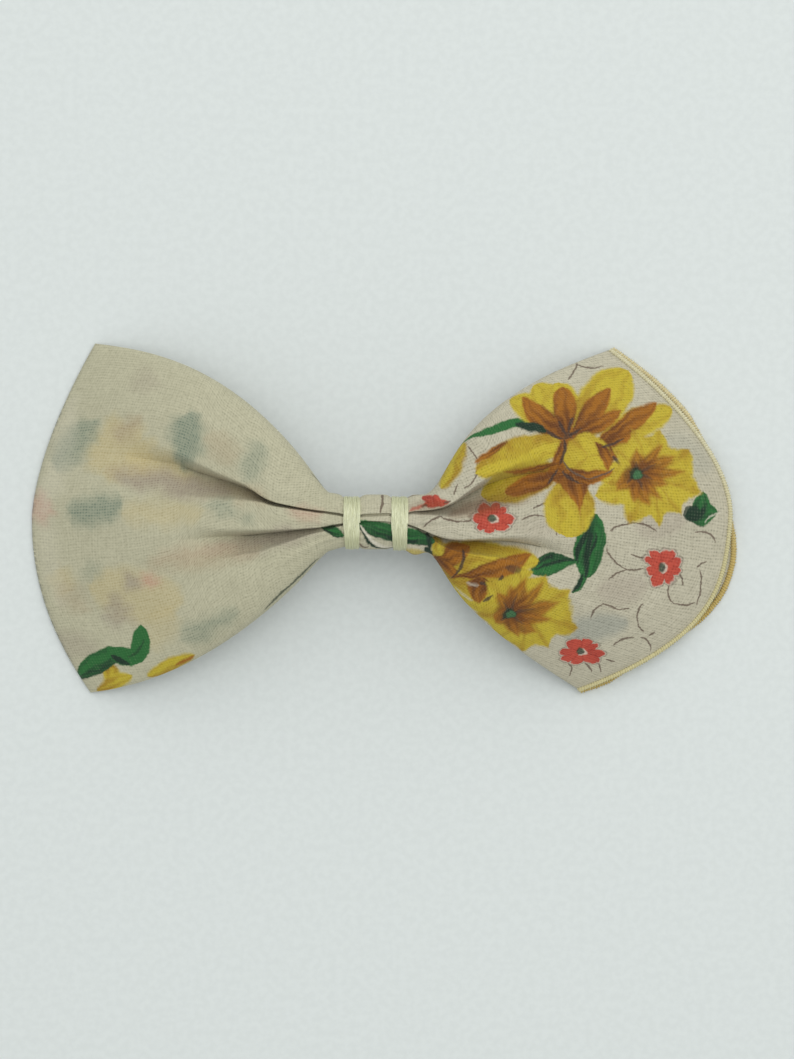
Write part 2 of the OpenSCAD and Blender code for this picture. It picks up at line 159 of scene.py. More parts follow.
class Net:
    """Adds nodes to one shader tree and joins them."""

    def __init__(self, tree: Tree) -> None:
        """Keeps the tree that the nodes go into."""
        self.tree = tree

    def node(self, kind: str, **settings: Any) -> Node:
        """Adds one node.

        Args:
            kind: Blender's name for the node.
            **settings: Properties to set on it.

        Returns:
            The new node.
        """
        made = self.tree.nodes.new(kind)
        for name, value in settings.items():
            setattr(made, name, value)
        return made

    def feed(self, socket: Socket, value: Any) -> None:
        """Joins a socket to another one, or sets its value.

        Args:
            socket: The socket.
            value: Socket to join it to, number or colour to set, or None to leave it.
        """
        if isinstance(value, Socket):
            self.tree.links.new(value, socket)
        elif value is not None:
            socket.default_value = value

    def filled(self, kind: str, values: Sequence[Any], **settings: Any) -> Socket:
        """Adds one node and feeds its inputs in order.

        Args:
            kind: Blender's name for the node.
            values: Sockets or values for its inputs, or None for one that is left.
            **settings: Properties to set on it.

        Returns:
            Its first output.
        """
        made = self.node(kind, **settings)
        for socket, value in zip(made.inputs, values):
            self.feed(socket, value)
        return made.outputs[0]

    def math(self, action: str, *values: Any, clamp: bool = False) -> Socket:
        """Adds one sum, by Blender's name; clamp keeps its answer from 0 to 1."""
        return self.filled("ShaderNodeMath", values, operation=action, use_clamp=clamp)

    def times(self, first: Any, second: Any) -> Socket:
        """Multiplies two numbers."""
        return self.math("MULTIPLY", first, second)

    def plus(self, first: Any, second: Any, clamp: bool = False) -> Socket:
        """Adds two numbers, and keeps the sum from 0 to 1 if clamp is set."""
        return self.math("ADD", first, second, clamp=clamp)

    def minus(self, first: Any, second: Any) -> Socket:
        """Takes the second number from the first."""
        return self.math("SUBTRACT", first, second)

    def vector(self, action: str, *values: Any) -> Socket:
        """Adds one sum of vectors, by Blender's name."""
        return self.filled("ShaderNodeVectorMath", values, operation=action)

    def scaled(self, point: Any, by: Any) -> Socket:
        """Multiplies a vector by a number."""
        return self.vector("SCALE", point, None, None, by)

    def blend(self, part: Any, start: Any, end: Any) -> Socket:
        """Goes from one colour to another.

        Args:
            part: How far to go, 0 to 1.
            start: First colour.
            end: Second colour.

        Returns:
            The colour's socket.
        """
        made = self.node("ShaderNodeMix", data_type="RGBA")
        self.feed(made.inputs[0], part)
        self.feed(made.inputs[6], start)
        self.feed(made.inputs[7], end)
        return made.outputs[2]

    def span(self, value: Any, low: Any, high: Any, start: Any = 0.0, end: Any = 1.0) -> Socket:
        """Maps a number smoothly from the range low to high to the range start to end."""
        values = (value, low, high, start, end)
        return self.filled("ShaderNodeMapRange", values, interpolation_type="SMOOTHSTEP")

    def noise(self, point: Any, scale: float, detail: float = 2.0, output: str = "Fac") -> Socket:
        """Adds cloudy noise.

        Args:
            point: Where it is read.
            scale: Clouds in each unit.
            detail: Layers of finer clouds.
            output: Fac for a number, Color for three of them.

        Returns:
            The noise's socket.
        """
        made = self.node("ShaderNodeTexNoise")
        self.feed(made.inputs["Vector"], point)
        made.inputs["Scale"].default_value = scale
        made.inputs["Detail"].default_value = detail
        return made.outputs[output]

    def parts(self, point: Any) -> tuple[Socket, Socket, Socket]:
        """Splits a vector into its three numbers."""
        made = self.filled("ShaderNodeSeparateXYZ", (point,)).node
        return made.outputs[0], made.outputs[1], made.outputs[2]

    def join(self, across: Any, along: Any, up: Any = 0.0) -> Socket:
        """Joins three numbers into a vector."""
        return self.filled("ShaderNodeCombineXYZ", (across, along, up))

    def turned(self, point: Any, angle: Any) -> Socket:
        """Turns a vector about the upright axis."""
        return self.filled("ShaderNodeVectorRotate", (point, None, None, angle), rotation_type="Z_AXIS")

    def place(self, group: Tree, **values: Any) -> Node:
        """Places a node group.

        Args:
            group: The group's tree.
            **values: Sockets or numbers for its inputs, by name.

        Returns:
            The group's node.
        """
        made = self.node("ShaderNodeGroup", node_tree=group)
        for name, value in values.items():
            self.feed(made.inputs[name], value)
        return made


class Group(Net):
    """A shader node group with named inputs and outputs."""

    def __init__(self, name: str) -> None:
        """Starts an empty group.

        Args:
            name: The group's name.
        """
        super().__init__(bpy.data.node_groups.new(name, "ShaderNodeTree"))
        self.entry = self.node("NodeGroupInput")
        self.exit = self.node("NodeGroupOutput")

    def takes(self, kind: str, *names: str) -> list[Socket]:
        """Adds inputs.

        Args:
            kind: What they take, Float or Vector.
            *names: Their names.

        Returns:
            The sockets to read them from.
        """
        for name in names:
            self.tree.interface.new_socket(name=name, in_out="INPUT", socket_type="NodeSocket" + kind)
        return [self.entry.outputs[name] for name in names]

    def gives(self, name: str, source: Socket, kind: str = "Float") -> None:
        """Adds an output that puts out source."""
        self.tree.interface.new_socket(name=name, in_out="OUTPUT", socket_type="NodeSocket" + kind)
        self.feed(self.exit.inputs[name], source)


class Surface(Net):
    """One material with a Principled shader."""

    def __init__(self, name: str) -> None:
        """Starts the material with its shader joined to the output.

        Args:
            name: The material's name.
        """
        self.material = bpy.data.materials.new(name)
        self.material.use_nodes = True
        super().__init__(self.material.node_tree)
        self.tree.nodes.clear()
        self.output = self.node("ShaderNodeOutputMaterial")
        self.shader = self.node("ShaderNodeBsdfPrincipled")
        self.feed(self.output.inputs["Surface"], self.shader.outputs[0])

    def dress(self, **values: Any) -> None:
        """Feeds the shader's sockets, with low lines standing for spaces in their names."""
        for name, value in values.items():
            self.feed(self.shader.inputs[name.replace("_", " ")], value)

    def bump(self, height: Any, depth: float, strength: float = 1.0) -> None:
        """Gives the surface a relief.

        Args:
            height: Socket of the relief.
            depth: Its depth in metres.
            strength: How far it tilts the light.
        """
        made = self.node("ShaderNodeBump")
        made.inputs["Strength"].default_value = strength
        made.inputs["Distance"].default_value = depth
        self.feed(made.inputs["Height"], height)
        self.feed(self.shader.inputs["Normal"], made.outputs[0])

    def drawing(self, layer: str, scale: float) -> Socket:
        """Reads a pattern layer of the mesh, scaled."""
        made = self.node("ShaderNodeUVMap", uv_map=layer)
        return self.scaled(made.outputs[0], scale)


class Effects:
    """The node groups that the materials share."""

    def __init__(self) -> None:
        """Builds each group once."""
        self.petal = self.petal_shape()
        self.blossom = self.blossom_shape()
        self.drift = self.print_drift()
        self.weave = self.woven_cotton()
        self.fibre = self.spun_thread()

    def petal_shape(self) -> Tree:
        """A shape from a root to a tip: petal, leaf or pen line.

        Returns:
            The group's tree.
        """
        net = Group("Petal shape")
        point, root = net.takes("Vector", "Point", "Root")
        turn, length, half, bend = net.takes("Float", "Turn", "Length", "Half", "Bend")
        tip, belly, soft = net.takes("Float", "Tip", "Belly", "Soft")
        across, up, _ = net.parts(net.turned(net.vector("SUBTRACT", point, root), turn))
        along = net.math("DIVIDE", across, length, clamp=True)
        bulge = net.math("POWER", along, belly)
        arch = net.times(net.times(bulge, net.minus(1.0, bulge)), 4.0)
        width = net.times(net.math("POWER", arch, tip), half)
        off = net.minus(up, net.times(arch, bend))
        past = net.math("ABSOLUTE", net.minus(across, net.times(along, length)))
        inside = net.minus(net.minus(width, net.math("ABSOLUTE", off)), past)
        net.gives("Mask", net.span(inside, net.times(soft, -1.0), soft))
        net.gives("Along", along)
        net.gives("Across", net.math("DIVIDE", off, net.plus(width, 0.01)))
        return net.tree

    def blossom_shape(self) -> Tree:
        """A round flower of several petals with a ragged rim.

        Returns:
            The group's tree.
        """
        net = Group("Blossom shape")
        point, centre = net.takes("Vector", "Point", "Centre")
        turn, radius, squeeze, petals = net.takes("Float", "Turn", "Radius", "Squeeze", "Petals")
        cut, sharp, ragged, soft = net.takes("Float", "Cut", "Sharp", "Ragged", "Soft")
        wide, high, _ = net.parts(net.vector("SUBTRACT", point, centre))
        tall = net.math("DIVIDE", high, squeeze)
        reach = net.math("SQRT", net.plus(net.times(wide, wide), net.times(tall, tall)))
        around = net.plus(net.math("ARCTAN2", tall, wide), turn)
        uneven = net.math("SINE", net.plus(net.times(around, 2.0), net.times(turn, 5.0)))
        angle = net.plus(around, net.times(uneven, 0.16))
        lobe = net.math("ABSOLUTE", net.math("SINE", net.times(angle, net.times(petals, 0.5))))
        notch = net.times(net.minus(1.0, net.math("POWER", lobe, sharp)), cut)
        rough = net.minus(net.noise(point, 0.075, 2.0), 0.5)
        longer = net.times(net.math("SINE", net.times(around, 3.0)), 0.06)
        rim = net.plus(net.minus(net.plus(1.0, longer), notch), net.times(rough, ragged))
        edge = net.times(rim, radius)
        inside = net.minus(edge, reach)
        net.gives("Mask", net.span(inside, net.times(soft, -1.0), soft))
        net.gives("Radial", net.math("DIVIDE", reach, edge, clamp=True))
        net.gives("Lobe", lobe)
        return net.tree

    def print_drift(self) -> Tree:
        """Moves the print a little, as hand-cut blocks and loose cloth do.

        Returns:
            The group's tree.
        """
        net = Group("Print drift")
        (point,) = net.takes("Vector", "Point")
        broad = net.vector("SUBTRACT", net.noise(point, 0.055, 1.0, "Color"), (0.5, 0.5, 0.5))
        fine = net.vector("SUBTRACT", net.noise(point, 0.36, 1.0, "Color"), (0.5, 0.5, 0.5))
        moved = net.vector("ADD", net.scaled(broad, 6.0), net.scaled(fine, 2.2))
        net.gives("Point", net.vector("ADD", point, moved), "Vector")
        loose = net.vector("ADD", net.scaled(broad, 16.0), net.scaled(fine, 4.0))
        net.gives("Loose", net.vector("ADD", point, loose), "Vector")
        net.gives("Brush", net.noise(point, 0.045, 3.0))
        return net.tree

    def woven_cotton(self) -> Tree:
        """Plain weave with uneven threads.

        Returns:
            The group's tree.
        """
        net = Group("Woven cotton")
        (point,) = net.takes("Vector", "Point")
        (pitch,) = net.takes("Float", "Pitch")
        wander = net.vector("SUBTRACT", net.noise(point, 0.03, 1.0, "Color"), (0.5, 0.5, 0.5))
        across, along, _ = net.parts(net.vector("ADD", point, net.scaled(wander, 6.0)))
        turn = net.math("DIVIDE", math.pi, pitch)
        column = net.times(across, turn)
        row = net.times(along, turn)
        warp = net.math("SINE", column)
        weft = net.math("SINE", row)
        columns = net.plus(net.times(net.times(warp, warp), 0.8), 0.2)
        rows = net.times(weft, weft)
        grain = net.noise(net.join(net.times(across, 0.23), net.times(along, 0.3)), 1.0)
        hole = net.times(net.times(rows, columns), net.span(grain, 0.25, 0.75))
        over = net.times(net.math("COSINE", column), net.math("COSINE", row))
        crest = net.times(over, over)
        long_slub = net.noise(net.join(net.times(across, 0.05), net.times(along, 0.5)), 1.0)
        tall_slub = net.noise(net.join(net.times(across, 0.5), net.times(along, 0.05)), 1.0)
        net.gives("Hole", hole)
        # Painted highlight and shade: crossings of one kind come out lighter, the others darker, in a checker
        net.gives("Crossing_Highlight", net.plus(net.times(over, 0.5), 0.5))
        net.gives("Crest", net.times(crest, net.span(tall_slub, 0.3, 0.7)))
        net.gives("Slub", net.span(net.plus(long_slub, tall_slub), 0.7, 1.3))
        net.gives("Height", net.minus(net.times(long_slub, 0.5), hole))
        return net.tree

    def spun_thread(self) -> Tree:
        """Fine fibres that wind along a thread; the pattern layer runs along it and round it.

        Returns:
            The group's tree.
        """
        net = Group("Spun thread")
        (point,) = net.takes("Vector", "Point")
        (lay,) = net.takes("Float", "Lay")
        along, around, _ = net.parts(point)
        skew = net.plus(net.times(along, lay), around)
        strand = net.math("SINE", net.times(skew, 18.85))
        fuzz = net.noise(net.join(net.times(along, 1.5), net.times(skew, 9.0)), 1.0)
        # Slow random tone along the thread, from wear
        wear_and_painted_shade = net.noise(net.join(along, 0.0), 0.35, 1.0)
        net.gives("Tone", net.plus(net.times(fuzz, 0.6), net.times(wear_and_painted_shade, 0.4)))
        net.gives("Height", net.plus(net.times(strand, 0.25), fuzz))
        return net.tree


def laid(net: Net, shape: Node, strength: float, under: Any, colour: Any) -> Socket:
    """Lays a printed shape's colour over another one.

    Args:
        net: Material that it goes into.
        shape: Node that gives the shape's mask.
        strength: How much of the colour below the shape hides.
        under: Colour below it.
        colour: Colour of the shape.

    Returns:
        The colour with the shape on it.
    """
    mask = shape.outputs["Mask"]
    if strength < 1.0:
        mask = net.times(mask, strength)
    return net.blend(mask, under, colour)


@dataclass(frozen=True)
class Petal:
    """One printed shape that runs from a root to a tip, on the print's 0.2 mm grid."""

    root: Flat
    tip: Flat
    half: float
    ink: Ink
    shade_ink: Ink = Ink.LINE
    shade: Shade = Shade.NONE
    bend: float = 0.0
    point: float = 0.5
    belly: float = 1.0
    soft: float = 1.1
    strength: float = 1.0
    loose: bool = False

    def reach(self) -> Box:
        """Finds what the shape may touch.

        Returns:
            The lowest and highest grid corners.
        """
        spare = self.half + abs(self.bend) + self.soft + DRIFT_ROOM
        xs = (self.root[0], self.tip[0])
        ys = (self.root[1], self.tip[1])
        return (min(xs) - spare, min(ys) - spare, max(xs) + spare, max(ys) + spare)

    def paint(self, net: Net, effects: Effects, drift: Node, under: Any) -> Socket:
        """Lays the shape over a colour.

        Args:
            net: Material that it goes into.
            effects: Shared groups.
            drift: Node that gives the print's grid point and its brush marks.
            under: Colour below it.

        Returns:
            The colour with the shape on it.
        """
        run = (self.tip[0] - self.root[0], self.tip[1] - self.root[1])
        point = drift.outputs["Loose" if self.loose else "Point"]
        shape = net.place(
            effects.petal, Point=point, Root=(*self.root, 0.0), Turn=-math.atan2(run[1], run[0]),
            Length=math.hypot(*run), Half=self.half, Bend=self.bend, Tip=self.point, Belly=self.belly,
            Soft=self.soft * BLEED.get(self.ink, 1.0),
        )
        colour: Any = self.ink.value
        if self.shade is not Shade.NONE:
            lie = net.plus(net.times(shape.outputs["Across"], 6.0), net.times(drift.outputs["Brush"], 12.0))
            streak = net.times(net.math("SINE", lie), 0.36)
            if self.shade is Shade.ROOT:
                deep = net.span(shape.outputs["Along"], 0.85, 0.05)
            elif self.shade is Shade.RIB:
                deep = net.span(net.math("ABSOLUTE", shape.outputs["Across"]), 0.4, 0.05)
            else:
                deep = net.span(shape.outputs["Across"], -0.1, 0.9)
            colour = net.blend(net.plus(deep, streak, clamp=True), self.ink.value, self.shade_ink.value)
        return laid(net, shape, self.strength, under, colour)

    def faded(self) -> "Petal":
        """Gives the shape as it shows through the ply above it."""
        pale, part = FADED[self.ink]
        return replace(self, ink=pale, shade=Shade.NONE, soft=THROUGH_SOFT,
                       strength=part * self.strength, loose=True)


@dataclass(frozen=True)
class Blossom:
    """One printed round flower, on the print's 0.2 mm grid."""

    centre: Flat
    radius: float
    ink: Ink
    shade_ink: Ink = Ink.GOLD
    petals: float = 11.0
    cut: float = 0.2
    ragged: float = 0.35
    squeeze: float = 1.0
    turn: float = 0.0
    soft: float = 1.1
    strength: float = 1.0
    loose: bool = False
    sharp: float = 0.55

    def reach(self) -> Box:
        """Finds what the flower may touch.

        Returns:
            The lowest and highest grid corners.
        """
        longest = self.radius * (1 + self.ragged + abs(self.cut)) * max(1.0, self.squeeze)
        spare = longest + self.soft + DRIFT_ROOM
        across, along = self.centre
        return (across - spare, along - spare, across + spare, along + spare)

    def paint(self, net: Net, effects: Effects, drift: Node, under: Any) -> Socket:
        """Lays the flower over a colour.

        Args:
            net: Material that it goes into.
            effects: Shared groups.
            drift: Node that gives the print's grid point and its brush marks.
            under: Colour below it.

        Returns:
            The colour with the flower on it.
        """
        point = drift.outputs["Loose" if self.loose else "Point"]
        shape = net.place(
            effects.blossom, Point=point, Centre=(*self.centre, 0.0), Turn=self.turn,
            Radius=self.radius, Squeeze=self.squeeze, Petals=self.petals, Cut=self.cut, Sharp=self.sharp,
            Ragged=self.ragged, Soft=self.soft * BLEED.get(self.ink, 1.0),
        )
        colour: Any = self.ink.value
        if self.shade_ink is not self.ink:
            seam = net.times(net.span(shape.outputs["Lobe"], 0.5, 0.05), 0.5)
            washed = net.span(drift.outputs["Brush"], 0.42, 0.66, 0.0, 0.5)
            colour = net.blend(net.plus(seam, washed, clamp=True), self.ink.value, self.shade_ink.value)
        return laid(net, shape, self.strength, under, colour)

    def faded(self) -> "Blossom":
        """Gives the flower as it shows through the ply above it."""
        pale, part = FADED[self.ink]
        return replace(self, ink=pale, shade_ink=pale, soft=THROUGH_SOFT,
                       strength=part * self.strength, loose=True)


Motif = Petal | Blossom


def touches(box: Box, area: Box) -> bool:
    """Whether two boxes on the grid overlap."""
    return box[0] < area[2] and box[2] > area[0] and box[1] < area[3] and box[3] > area[1]


def line(start: Flat, end: Flat, bow: float = 0.0, half: float = 0.9) -> Petal:
    """One thin pen line, whose middle is bow off the straight."""
    return Petal(start, end, half, Ink.LINE, bend=bow, point=0.3, soft=0.6, strength=0.85)


def stroke(start: Flat, end: Flat, bow: float = 0.0) -> Petal:
    """One dark brush stroke that tapers to its end."""
    return Petal(start, end, 1.6, Ink.PEN, bend=bow, point=0.6, belly=0.7, soft=0.9, strength=0.85)


def leaf(root: Flat, tip: Flat, half: float, bend: float = 0.0, belly: float = 1.0) -> Petal:
    """One green leaf with a dark side; a belly above 1 moves its widest place to the tip."""
    return Petal(root, tip, half, *GREEN, Shade.SIDE, bend, 0.75, belly)


def daisy(centre: Flat, radius: float, squeeze: float = 1.0, turn: float = 0.0) -> list[Motif]:
    """One small red flower with a green heart in a pale ring.

    Args:
        centre: Grid point of its middle.
        radius: Its radius.
        squeeze: Height for each unit of width.
        turn: Where its first petal points.

    Returns:
        Its shapes from the lowest up.
    """
    heart = (centre[0] - radius * 0.05, centre[1])
    ring = (centre[0] + radius * 0.04, centre[1] + radius * 0.04)
    tall = squeeze * 1.2
    return [
        Blossom(centre, radius + 2.4, Ink.LINE, Ink.LINE, 8.0, 0.22, 0.5, squeeze, turn, strength=0.6),
        Blossom(centre, radius + 1.0, Ink.PALE, Ink.PALE, 8.0, 0.26, 0.52, squeeze, turn, strength=0.75),
        Blossom(centre, radius, Ink.RED, Ink.ROSE, 8.0, 0.3, 0.55, squeeze, turn),
        Blossom(ring, radius * 0.23, Ink.PALE, Ink.PALE, 4.0, 0.1, 0.2, tall, turn, strength=0.75),
        Blossom(heart, radius * 0.2, Ink.DARK_LEAF, Ink.HEART, 2.0, 0.1, 0.2, tall, turn, strength=0.88),
    ]


def rosette(centre: Flat, heart: Flat, radius: float, squeeze: float, rays: Sequence[Flat]) -> list[Motif]:
    """One yellow flower with brown rays and a green heart.

    Args:
        centre: Grid point of its middle.
        heart: Grid point of its green heart.
        radius: Its radius.
        squeeze: Height for each unit of width.
        rays: Grid points where the brown rays end.

    Returns:
        Its shapes from the lowest up.
    """
    narrow, broad = 6.6, 8.4
    streak_part = 0.55
    lit = (heart[0] + 1.6, heart[1] + 0.8)
    lie = {"squeeze": squeeze, "turn": heart[0] * 0.1}
    shapes: list[Motif] = [
        Blossom(centre, radius * 0.9, Ink.YELLOW, Ink.GOLD, 9.0, -0.26, 0.3, soft=1.2, sharp=0.85, **lie),
    ]
    for place, tip in enumerate(rays):
        half = narrow if place % 2 else broad
        shapes.append(
            Petal(heart, tip, half, *BROWN, bend=2.0, point=1.0, belly=0.72, soft=1.8, strength=0.88))
    shapes.append(
        Blossom(heart, radius * 0.27, Ink.UMBER, Ink.BROWN, 7.0, 0.5, 0.5, soft=5.0, strength=0.8, **lie))
    for tip in rays[::2]:
        away = (mix(heart[0], tip[0], streak_part), mix(heart[1], tip[1], streak_part))
        shapes.append(Petal(heart, away, 1.7, Ink.PEN, point=0.8, belly=0.7, strength=0.6))
    dark, green = Ink.DARK_LEAF, Ink.HEART
    shapes += [
        Blossom(heart, radius * 0.15, dark, dark, 3.0, 0.2, 0.5, soft=1.8, strength=0.9, **lie),
        Blossom(lit, radius * 0.1, green, green, 3.0, 0.2, 0.5, **lie),
    ]
    return shapes


@dataclass(frozen=True)
class FloralPrint:
    """The print, with a few soft bands of painted shade in the creases: where each flower, leaf and line lies
    on the grid.
    """

    def lily(self) -> list[Motif]:
        """The large open flower on the right wing, yellow petals under brown ones.

        Returns:
            Its shapes from the lowest up.
        """
        strokes = (
            ((571, 418), (566, 436), 1), ((544, 431), (563, 440), 2), ((562, 441), (557, 466), -2),
            ((546, 484), (556, 469), 1), ((561, 470), (579, 485), 3), ((610, 456), (618, 467), 1),
            ((556, 424), (564, 438), 0), ((566, 438), (580, 430), 1), ((598, 448), (622, 440), 1),
        )
        return [
            Petal((560, 428), (509, 398), 14, *YELLOW, belly=1.3),
            Petal((560, 426), (534, 384), 18, *YELLOW, point=0.6),
            Petal((563, 438), (557, 384), 19, *YELLOW, belly=1.2),
            Petal((568, 440), (628, 372), 24, *YELLOW, belly=1.3),
            Petal((596, 442), (672, 409), 15, *YELLOW, belly=1.1),
            Petal((558, 470), (480, 496), 17, *YELLOW),
            Petal((569, 476), (564, 536), 25, *YELLOW, belly=1.25),
            Blossom((566, 446), 21, Ink.BROWN, Ink.UMBER, 6.0, 0.3, 0.4, 0.8),
            Blossom((562, 472), 15, Ink.BROWN, Ink.UMBER, 5.0, 0.3, 0.4),
            Blossom((606, 448), 19, Ink.BROWN, Ink.UMBER, 6.0, 0.3, 0.4, 0.8),
            Petal((562, 437), (521, 399), 12, *BROWN, bend=-4, point=0.8, belly=0.75),
            Petal((564, 436), (561, 388), 12, *BROWN, point=0.6, belly=1.3),
            Petal((570, 437), (609, 389), 11, *BROWN, point=0.8, belly=1.2),
            Petal((572, 438), (620, 412), 8, *BROWN, point=0.8),
            Petal((592, 447), (656, 402), 9, *BROWN, bend=2, point=0.65, belly=1.3),
            Petal((597, 447), (642, 437), 10, *BROWN, bend=3, point=0.7),
            Petal((560, 444), (474, 474), 17, Ink.YELLOW, Ink.GOLD, Shade.SIDE, bend=3),
            Petal((506, 443), (473, 463), 3.4, *BROWN, point=0.6),
            Petal((561, 442), (546, 476), 5, *BROWN, bend=-2, point=0.6),
            Petal((558, 463), (502, 473), 2.8, *BROWN, bend=-2, point=0.8),
            Petal((557, 474), (503, 494), 9.5, *BROWN, point=0.6),
            Petal((571, 472), (578, 516), 17, *BROWN, point=1.7, belly=0.36),
            Blossom((585, 456), 24, Ink.YELLOW, Ink.GOLD, 3.0, 0.06, 0.14, 0.84),
            Petal((565, 469), (611, 471), 7, *BROWN, bend=8, point=0.7),
            Petal((593, 444), (606, 471), 6, *BROWN, bend=-4, point=0.8),
            line((560, 460), (584, 479), 4, 1.2), line((584, 479), (612, 468), 3, 1.1),
            Petal((514, 426), (544, 433), 4.6, Ink.DARK_LEAF, bend=-1, point=0.5, soft=1.5),
            Blossom((566, 438), 5, Ink.PEN, Ink.PEN, 5.0, 0.4, 0.5, 0.8, strength=0.7),
            *(stroke(*run) for run in strokes),
        ]

    def right_leaves(self) -> list[Motif]:
        """The green leaves and the stalk on the right wing.

        Returns:
            Its shapes from the lowest up.
        """
        return [
            Petal((456, 441), (541, 429), 4.6, *GREEN, Shade.NONE, -8, 0.45, 1.8),
            Petal((584, 564), (569, 593), 4.2, *GREEN, Shade.SIDE, -3),
            Petal((590, 514), (583, 577), 15.5, *GREEN, Shade.RIB, 0, 0.52, 0.9),
            Petal((592, 532), (581, 563), 1.6, Ink.DARK_LEAF, bend=-4, point=0.5),
            Petal((587, 528), (575, 562), 3, Ink.DARK_LEAF, bend=4, point=0.6),
            Petal((580, 572), (569, 592), 1.8, Ink.DARK_LEAF, bend=-2, point=0.5),
            leaf((576, 559), (528, 572), 10.5, 3, 1.4),
            Petal((572, 560), (533, 570), 1.4, Ink.DARK_LEAF, bend=3),
            Petal((684, 516), (718, 511), 12, *GREEN, Shade.ROOT, 0, 0.85, 0.95),
            Petal((698, 518), (702, 492), 9, *GREEN, Shade.ROOT, 0, 0.85, 0.9),
            Petal((682, 514), (699, 513), 8, Ink.DARK_LEAF, point=0.5, strength=0.85),
            Petal((704, 523), (721, 512), 0.9, Ink.PALE, bend=-2, strength=0.7),
        ]

    def right_lines(self) -> list[Motif]:
        """The pen lines of the pale flowers on the right wing.

        Returns:
            Its shapes from the lowest up.
        """
        runs: tuple[tuple[Any, ...], ...] = (
            ((567, 382), (577, 362), 1), ((575, 363), (604, 366), 4), ((467, 447), (476, 460), 0),
            ((476, 461), (463, 490), -5), ((452, 495), (457, 485)), ((408, 496), (419, 494)),
            ((607, 531), (631, 523), -2), ((630, 523), (654, 530), -2), ((604, 548), (625, 568), 4),
            ((624, 568), (641, 569), 1), ((605, 579), (625, 568), -1), ((630, 554), (646, 560), 0),
            ((694, 532), (716, 543), -6), ((679, 575), (684, 585), 0), ((669, 585), (673, 603), 3),
            ((672, 602), (695, 603), 2), ((696, 606), (699, 571), 3), ((695, 567), (706, 562), 0),
            ((641, 602), (638, 624), 4), ((637, 623), (644, 632), 1), ((600, 602), (619, 609), 0),
            ((618, 608), (628, 607), 0), ((589, 618), (601, 603), -2), ((612, 645), (633, 638), -2),
            ((640, 637), (651, 652), -4), ((648, 636), (654, 631), 0), ((605, 660), (615, 662), 0),
            ((584, 664), (591, 672), -1), ((594, 659), (601, 672), -1), ((567, 662), (570, 676), -3),
            ((519, 520), (541, 517), -3), ((541, 517), (554, 536), -4), ((530, 508), (550, 505), -2),
            ((423, 528), (441, 517), -2, 1.1), ((440, 517), (462, 522), 2, 1.0), ((462, 522), (474, 516), 2),
        )
        return [line(*run) for run in runs]

    def right(self) -> list[Motif]:
        """Everything on the right wing's front.

        Returns:
            Its shapes from the lowest up.
        """
        shapes: list[Motif] = [
            Petal((632, 528), (684, 520), 15, Ink.MAUVE, soft=7, strength=0.2),
            Petal((560, 632), (626, 622), 13, Ink.SLATE, soft=7, strength=0.38),
            Petal((664, 436), (712, 470), 16, Ink.SLATE, soft=8, strength=0.16),
            Petal((596, 592), (646, 584), 15, Ink.MAUVE, soft=8, strength=0.22),
            Petal((508, 529), (562, 526), 11, Ink.MAUVE, soft=8, strength=0.12),
        ]
        shapes += self.right_lines() + self.right_leaves()
        shapes += [
            Petal((640, 486), (592, 497), 13, *YELLOW, point=0.6),
            Petal((640, 468), (595, 478), 13, *YELLOW, point=0.6),
        ]
        shapes += self.lily()
        shapes += rosette((651, 478), (634, 474), 44, 1.0, (
            (634, 450), (661, 444), (674, 456), (683, 472), (666, 485), (659, 500), (646, 505),
            (633, 503), (614, 492)))
        shapes += [
            Petal((440, 489), (463, 441), 8.5, Ink.YELLOW, Ink.GOLD, Shade.SIDE, bend=1),
            Petal((431, 553), (536, 562), 16, *YELLOW, belly=0.9),
            # Painted shade: a soft gold band darkens the yellow just under the lower crease's lip
            Petal((450, 548), (528, 550), 5, Ink.GOLD, soft=3.0, strength=0.45),
            Petal((436, 560), (490, 612), 19, *YELLOW),
            Petal((448, 582), (530, 572), 11, *YELLOW, point=0.6),
            Petal((434, 569), (468, 546), 10.5, *BROWN, bend=-3, point=0.5),
            Petal((438, 557), (455, 577), 6, *BROWN, point=0.5),
            Petal((432, 537), (441, 554), 6, *YELLOW),
            Petal((447, 579), (528, 554), 9, *BROWN, bend=4, point=0.75, belly=1.7),
            Petal((479, 577), (476, 608), 12, *BROWN, point=1.2, belly=0.5),
            Petal((448, 586), (468, 598), 2.6, Ink.YELLOW, bend=1),
            Petal((446, 590), (484, 608), 3, Ink.YELLOW, bend=1),
            Petal((454, 591), (472, 601), 2, Ink.PALE, soft=1.6, strength=0.5),
            Petal((465, 582), (477, 584), 1.6, Ink.PALE, soft=1.6, strength=0.5),
            stroke((462, 548), (450, 579), -4), stroke((478, 581), (496, 583), 1),
            stroke((501, 574), (493, 584), 0), stroke((492, 590), (486, 598), 0),
        ]
        shapes += rosette((525, 612), (507, 613), 47, 0.82, (
            (495, 592), (509, 584), (523, 576), (541, 582), (557, 601), (549, 617), (535, 632),
            (518, 636), (493, 624)))
        shapes += [
            stroke((482, 602), (492, 594), 0),
            Petal((504, 566), (519, 570), 3.4, Ink.PEN, soft=1.8, strength=0.6),
        ]
        shapes += daisy((491, 518), 21, 0.72, 0.3)
        shapes += daisy((661, 567), 19, 1.0, 0.8)
        shapes += daisy((581, 651), 23, 0.6, 0.2)
